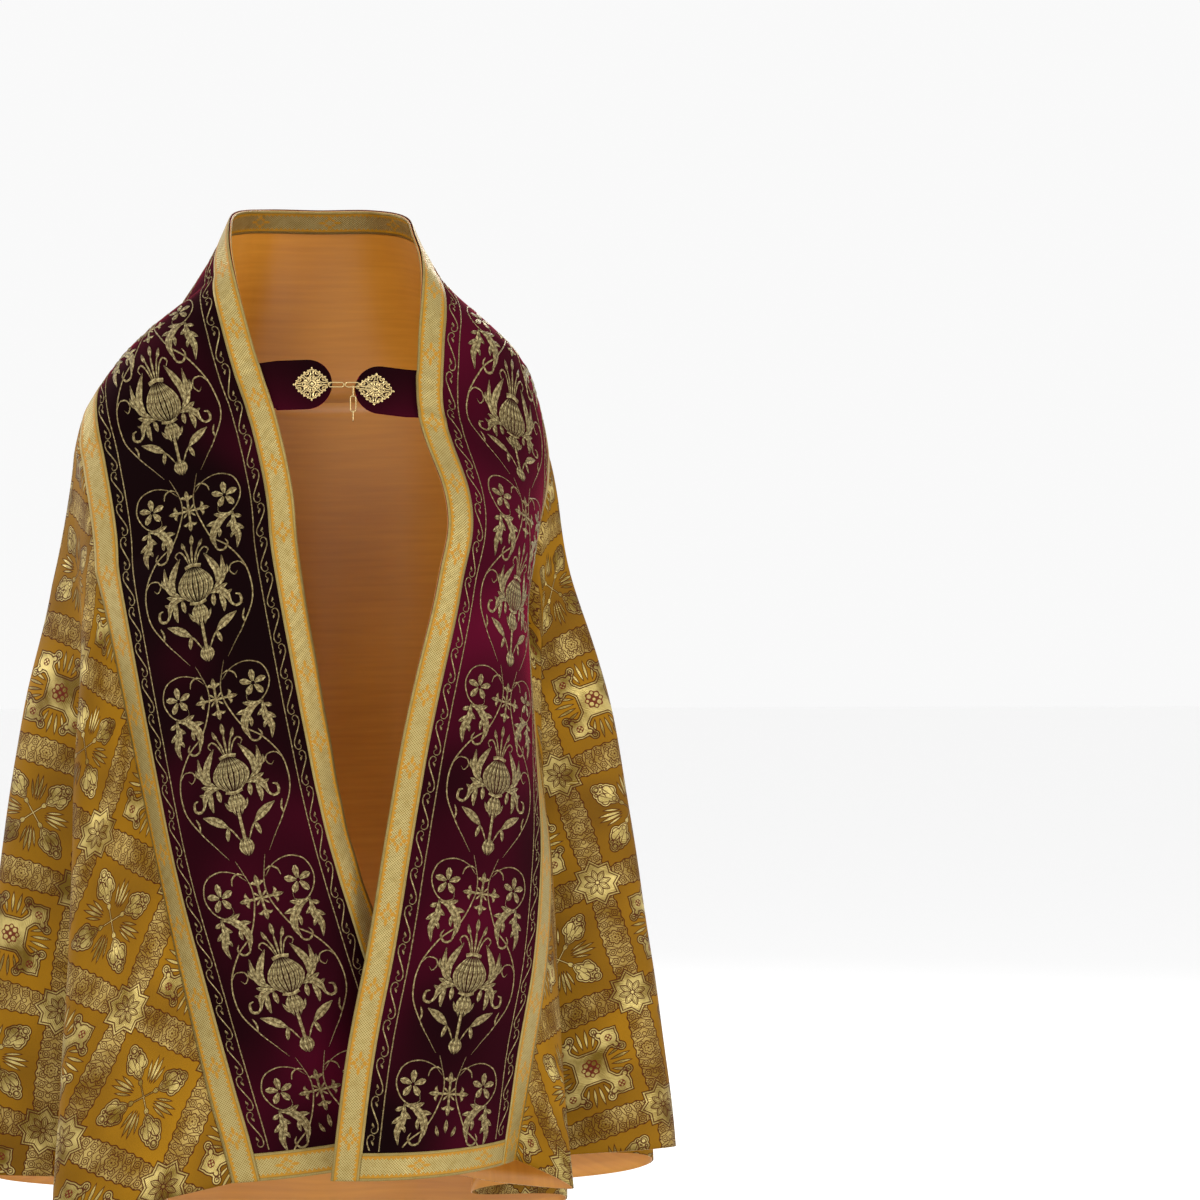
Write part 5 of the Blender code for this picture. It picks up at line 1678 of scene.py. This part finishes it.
class Tab:
    """One tab of the clasp: tucked behind the front edge, then flat to a round tip."""

    def __init__(self, side, tip):
        self.side, self.tip = side, np.array(tip)
        self.half = TAB_HEIGHT / 2
        upper, middle, lower = (self.edge(np.array([v]), 0.0)[0] for v in (1.0, 0.0, -1.0))
        along = self.tip - middle
        self.length = np.linalg.norm(along)
        self.along = along / self.length
        rise = upper - lower
        self.up = unit(rise - self.along * np.dot(rise, self.along))
        self.front = np.cross(self.along, self.up)
        self.front = self.front if self.front[1] < 0 else -self.front

    def edge(self, v, y):
        x = self.side * (SHOULDER + np.interp(-v, (-1, 0, 1), TAB_LEVELS) * (RADIUS - SHOULDER))
        return on_band(x, y + 0 * x, (-TAB_SEAT - TAB_THICK / 2) + 0 * x)

    def place(self, back, up, forward):
        back, up, forward = (np.asarray(value, float)[..., None] for value in (back, up, forward))
        return self.tip - self.along * back + self.up * up + self.front * forward

    def cloth(self, share, v):
        """The tab's middle surface: from its tuck at share 0 to its tip at 1."""
        way = share * (self.length + TAB_TUCK) - TAB_TUCK
        back = np.clip(self.length - way, 0, None)
        tip = np.clip(1 - back / self.half, 0, 1)
        flat = self.place(back, v * self.half * np.sqrt(np.clip(1 - tip**2, 0, 1)), 0 * v)
        edge = self.edge(v, np.clip(-way, 0, None)) + self.along * np.clip(way, 0, None)[..., None]
        blend = np.clip(way / 0.014, 0, 1)[..., None]
        blend = blend * blend * (3 - 2 * blend)
        return edge * (1 - blend) + flat * blend, np.stack([way, v * self.half], axis=-1)


class COPE_OT_clasp(bpy.types.Operator):
    """Make the clasp: velvet tabs, filigree plates, hook, ring and the tail that hangs from it"""

    bl_idname = "cope.clasp"
    bl_label = "Clasp"

    def execute(self, context):
        for (side, name), tip in zip(SIDES, (RIGHT_TIP, LEFT_TIP)):
            tab = Tab(side, tip)
            self.velvet(tab, name)
            self.plate(tab, name)
        across, up, forward = (1, 0, 0), (0, 0, 1), (0, 1, 0)
        for name, start, end in (("hook", HOOK_START, HOOK_END), ("ring", HOOK_END + SEAM, RING_END)):
            middle = ((start + end) / 2, CHAIN_Y, CHAIN_Z)
            self.link(f"clasp_{name}", middle, across, up, (end - start) / 2 - WIRE, CHAIN_HALF_HEIGHT)
        for name, x in (("right", HOOK_START + WIRE), ("left", RING_END - WIRE)):
            middle = (x, CHAIN_Y + 0.9 * MM, CHAIN_Z)
            self.link(f"Eyelet_{name}", middle, forward, across, 2.2 * MM, 1.3 * MM, 0.45 * MM)
        bearing = 2 * WIRE + SEAM
        top = CHAIN_Z - CHAIN_HALF_HEIGHT + bearing
        for name, long_half, wide_half, crosswise in TAIL_LINKS:
            middle = (TAIL_X, CHAIN_Y, top - long_half)
            way = forward if crosswise == "y" else across
            self.link(name, middle, up, way, long_half, wide_half, body=TAIL_BODY)
            top = top - 2 * long_half + bearing
        return {"FINISHED"}

    def velvet(self, tab, name):
        def place(along, v):
            points, flat = tab.cloth(1 - (1 - along) ** 1.6, (2 * v - 1) * tab.side)
            front = grid_normals(points)
            front[:, -1] = front[:, -2]
            edge = np.clip(1 - np.abs(2 * v - 1), 0, 0.12) / 0.12
            lift = TAB_THICK / 2 * (0.55 + 0.45 * np.sqrt(edge))
            return points + front * lift[..., None], flat

        lay_cloth(f"Clasp_tab_{name}", cloth_patch(48, 24, place), "velvet", TAB_THICK * 0.9)

    def plate(self, tab, name):
        centre = PLATE_LENGTH / 2 + PLATE_FROM_TIP

        def lay(x, y, height):
            return tab.place(centre - x, y, TAB_THICK / 2 + SEAM + height)

        work = Stitching(lay, 0.0)
        wide, high = PLATE_LENGTH / 2, PLATE_HEIGHT / 2

        def spots(radius, turn):
            """Points at shares of the plate's pointed outline."""
            reach = (np.abs(np.cos(turn)) ** 1.3 + np.abs(np.sin(turn)) ** 1.3) ** (-1 / 1.3)
            reach = reach * radius
            return np.stack([wide * reach * np.cos(turn), high * reach * np.sin(turn)], axis=-1)

        turn = np.linspace(0, 2 * math.pi, 121)
        work.stroke(EVEN, 0.7 * MM, spots(0.84 + 0.05 * np.abs(np.cos(9 * turn)), turn))
        work.stroke(EVEN, 0.6 * MM, spots(0.50 + 0 * turn, turn))
        work.stroke(EVEN, 0.8 * MM, spots(0.22 + 0 * turn, turn))
        for prong in range(PLATE_PRONGS):
            tip, half = (0.96, 0.9) if prong % 2 else (1.0, 1.3)
            way = np.array([0.84, 0.92, tip])
            work.stroke(PETAL, half * MM, spots(way, 2 * math.pi * prong / PLATE_PRONGS + 0 * way))
        for petal in range(PLATE_PETALS):
            middle = 2 * math.pi * (petal + 0.5) / PLATE_PETALS
            for side in (-1, 1):
                for way in (
                    [(0.24, 0.04), (0.36, 0.24), (0.47, 0.16), (0.49, 0.0)],
                    [(0.50, 0.04), (0.62, 0.30), (0.80, 0.30), (0.80, 0.10), (0.66, 0.10)],
                ):
                    way = np.array(way)
                    work.stroke(VINE, 0.9 * MM, spots(way[:, 0], middle + side * way[:, 1]))
            for radius, half in ((0.72, 1.1), (0.38, 0.8)):
                way = np.array([radius - 0.05, radius, radius + 0.05])
                work.stroke(PETAL, half * MM, spots(way, middle + 0 * way))
        way = np.array([-0.12, 0, 0.12])
        work.stroke(PETAL, 2.4 * MM, spots(way, 0 * way))
        if name == "left":
            for up in (-1.7 * MM, 1.7 * MM):
                work.stroke(EVEN, 0.9 * MM, np.array([[wide * 0.98, up], [wide * 0.4, up], [0, up * 0.6]]))
        piece = work.finish(f"Clasp_plate_{name}", finishes()["metal"])
        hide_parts(f"clasp_plate_{name}")

    def link(self, name, centre, long_way, cross_way, half_length, half_width, wire=WIRE, body=CLOTH_BODY):
        """A closed wire loop with round ends."""
        long_way, cross_way = np.array(long_way, float), np.array(cross_way, float)
        facing = np.cross(long_way, cross_way)

        def place(around, along):
            turn, angle = 2 * math.pi * along, 2 * math.pi * around
            out = np.cos(turn)[..., None] * long_way + np.sin(turn)[..., None] * cross_way
            shift = (half_length - half_width) * np.clip(np.cos(turn) * 8, -1, 1)
            middle = centre + shift[..., None] * long_way + out * half_width
            reach = out * np.cos(angle)[..., None] + facing * np.sin(angle)[..., None]
            flat = np.stack([turn * half_length, angle * wire], axis=-1)
            return middle + reach * wire, flat

        form = cloth_patch(12, 64, place)
        bmesh.ops.remove_doubles(form, verts=form.verts, dist=WELD)
        bmesh.ops.recalc_face_normals(form, faces=form.faces)
        new_name = name.replace("_", " ").capitalize().replace(" ", "_") + "_wire"
        piece = finish_piece(new_name, form, finishes()["metal"], body=body)
        if name.startswith(("clasp", "tail")):
            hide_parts(name)


FRONT = ("Front_galloon_right", "Front_galloon_left")
OUTER = ("Outer_galloon_right", "Outer_galloon_left")
CUTS = (
    # piece, how it is held, what it lies on or hangs from, what goes with it
    ("Lining", "draped", ("Brocade_back", "Orphrey_right", "Orphrey_left"), ()),
    ("Brocade_right_side", "draped", OUTER[:1], ()),
    ("Brocade_back", "draped", OUTER, ()),
    ("Brocade_left_side", "draped", OUTER[1:], ()),
    ("Orphrey_right", "draped", ("Lining",), ("Orphrey_embroidery_right",)),
    ("Orphrey_left", "draped", ("Lining",), ("Orphrey_embroidery_left",)),
    ("Front_galloon_right", "laid", ("Orphrey_right",), ()),
    ("Front_galloon_left", "laid", ("Orphrey_left",), ()),
    ("Outer_galloon_right", "laid", ("Orphrey_right",), ()),
    ("Outer_galloon_left", "laid", ("Orphrey_left",), ()),
    ("Hem_galloon_right", "laid", ("Orphrey_right",), ()),
    ("Hem_galloon_left", "laid", ("Orphrey_left",), ()),
    ("Centre_back_galloon", "laid", ("Orphrey_right", "Orphrey_left"), ()),
    ("Neck_galloon_inside", "laid", ("Lining",), ()),
    ("Hood", "hung", OUTER, ("Hood_fringe", "Fringe_heading")),
    ("Hood_galloon", "laid", ("Hood",), ()),
    ("Clasp_tab_right", "stretched", FRONT[:1], ("Clasp_plate_right",)),
    ("Clasp_tab_left", "stretched", FRONT[1:], ("Clasp_plate_left",)),
)


class COPE_OT_cuts(bpy.types.Operator):
    """Read the flat coordinates of every cloth in the table of cuts; nothing further is done with them"""

    bl_idname = "cope.cuts"
    bl_label = "Cuts"

    def execute(self, context):
        pieces = bpy.data.objects
        for name, held, rests_on, others in CUTS:
            mesh = pieces[name].data
            flat = np.empty(2 * len(mesh.loops))
            mesh.uv_layers["UVMap"].data.foreach_get("uv", flat)
            flat = flat.reshape(-1, 2)
        return {"FINISHED"}


FLOOR_HALF = 30
FLOOR_COLOUR = (0.97, 0.97, 0.97)
STUDIO_LIGHT = 0.95
LAMPS = (
    # name, place, what it points at, size, power
    ("Key", (-1.6, -3.8, 2.2), (0, 0, -0.5), 1.8, 60),
    ("Fill", (3.0, -2.6, 0.4), (0, 0, -0.5), 1.6, 50),
    ("Back", (1.2, 3.6, 2.0), (0, 0, -0.5), 1.8, 65),
    ("Rim", (-3.0, 1.6, 0.8), (0, 0, -0.4), 1.2, 35),
)
CAMERA_PLACE = (0, -4.5, -0.439)
CAMERA_TURN = (math.radians(90), 0, math.radians(-4.34))
CAMERA_LENS = 110.7


class COPE_OT_stage(bpy.types.Operator):
    """Set the floor, the lights and the camera"""

    bl_idname = "cope.stage"
    bl_label = "Stage"

    def execute(self, context):
        scene = context.scene
        form = bmesh.new()
        bmesh.ops.create_grid(form, x_segments=1, y_segments=1, size=FLOOR_HALF)
        mesh = bpy.data.meshes.new("Floor")
        form.to_mesh(mesh)
        form.free()
        mesh.transform(Matrix.Translation((0, 0, scene.cope.floor_level)))
        work = Finish("Floor")
        mesh.materials.append(work.set(Base_Color=colour(*FLOOR_COLOUR), Roughness=0.9))
        floor = bpy.data.objects.new("Floor", mesh)
        scene.collection.objects.link(floor)
        world = bpy.data.worlds.new("Studio")
        world.use_nodes = True
        background = world.node_tree.nodes["Background"]
        background.inputs["Color"].default_value = colour(1, 1, 1)
        background.inputs["Strength"].default_value = STUDIO_LIGHT
        scene.world = world
        scene.view_settings.view_transform = "Standard"
        for name, place, aim, size, power in LAMPS:
            light = bpy.data.lights.new(name, "AREA")
            light.size = size
            light.energy = power
            lamp = bpy.data.objects.new(name, light)
            lamp.location = place
            lamp.rotation_euler = (Vector(aim) - Vector(place)).to_track_quat("-Z", "Y").to_euler()
            scene.collection.objects.link(lamp)
        lens = bpy.data.cameras.new("Camera")
        lens.lens = CAMERA_LENS
        lens.sensor_width = 36
        camera = bpy.data.objects.new("Camera", lens)
        camera.location = CAMERA_PLACE
        camera.rotation_euler = CAMERA_TURN
        scene.collection.objects.link(camera)
        scene.camera = camera
        return {"FINISHED"}


class COPE_PT_panel(bpy.types.Panel):
    """Lists the steps that dress the cope"""

    bl_label = "Cope"
    bl_idname = "COPE_PT_panel"
    bl_space_type = "VIEW_3D"
    bl_region_type = "UI"
    bl_category = "Cope"

    def draw(self, context):
        for step in STEPS:
            self.layout.operator(step.bl_idname)
        for name in CopeSizes.__annotations__:
            self.layout.prop(context.scene.cope, name)
        for name in CopeLook.__annotations__:
            self.layout.prop(context.scene.cope_look, name)


STEPS = (
    COPE_OT_brocade,
    COPE_OT_lining,
    COPE_OT_orphrey,
    COPE_OT_galloons,
    COPE_OT_embroidery,
    COPE_OT_hood,
    COPE_OT_medallion,
    COPE_OT_fringe,
    COPE_OT_clasp,
    COPE_OT_cuts,
    COPE_OT_stage,
)
CLASSES = (CopeLook, CopeSizes, *STEPS, COPE_PT_panel)


def register():
    for kind in CLASSES:
        bpy.utils.register_class(kind)
    bpy.types.Scene.cope = bpy.props.PointerProperty(type=CopeSizes)
    bpy.types.Scene.cope_look = bpy.props.PointerProperty(type=CopeLook)


def unregister():
    del bpy.types.Scene.cope_look
    del bpy.types.Scene.cope
    for kind in reversed(CLASSES):
        bpy.utils.unregister_class(kind)


def main():
    register()
    bpy.ops.cope.brocade()
    bpy.ops.cope.lining()
    bpy.ops.cope.orphrey()
    bpy.ops.cope.galloons()
    bpy.ops.cope.embroidery()
    bpy.ops.cope.hood()
    bpy.ops.cope.medallion()
    bpy.ops.cope.fringe()
    bpy.ops.cope.clasp()
    bpy.ops.cope.cuts()
    bpy.ops.cope.stage()


if __name__ == "__main__":
    main()
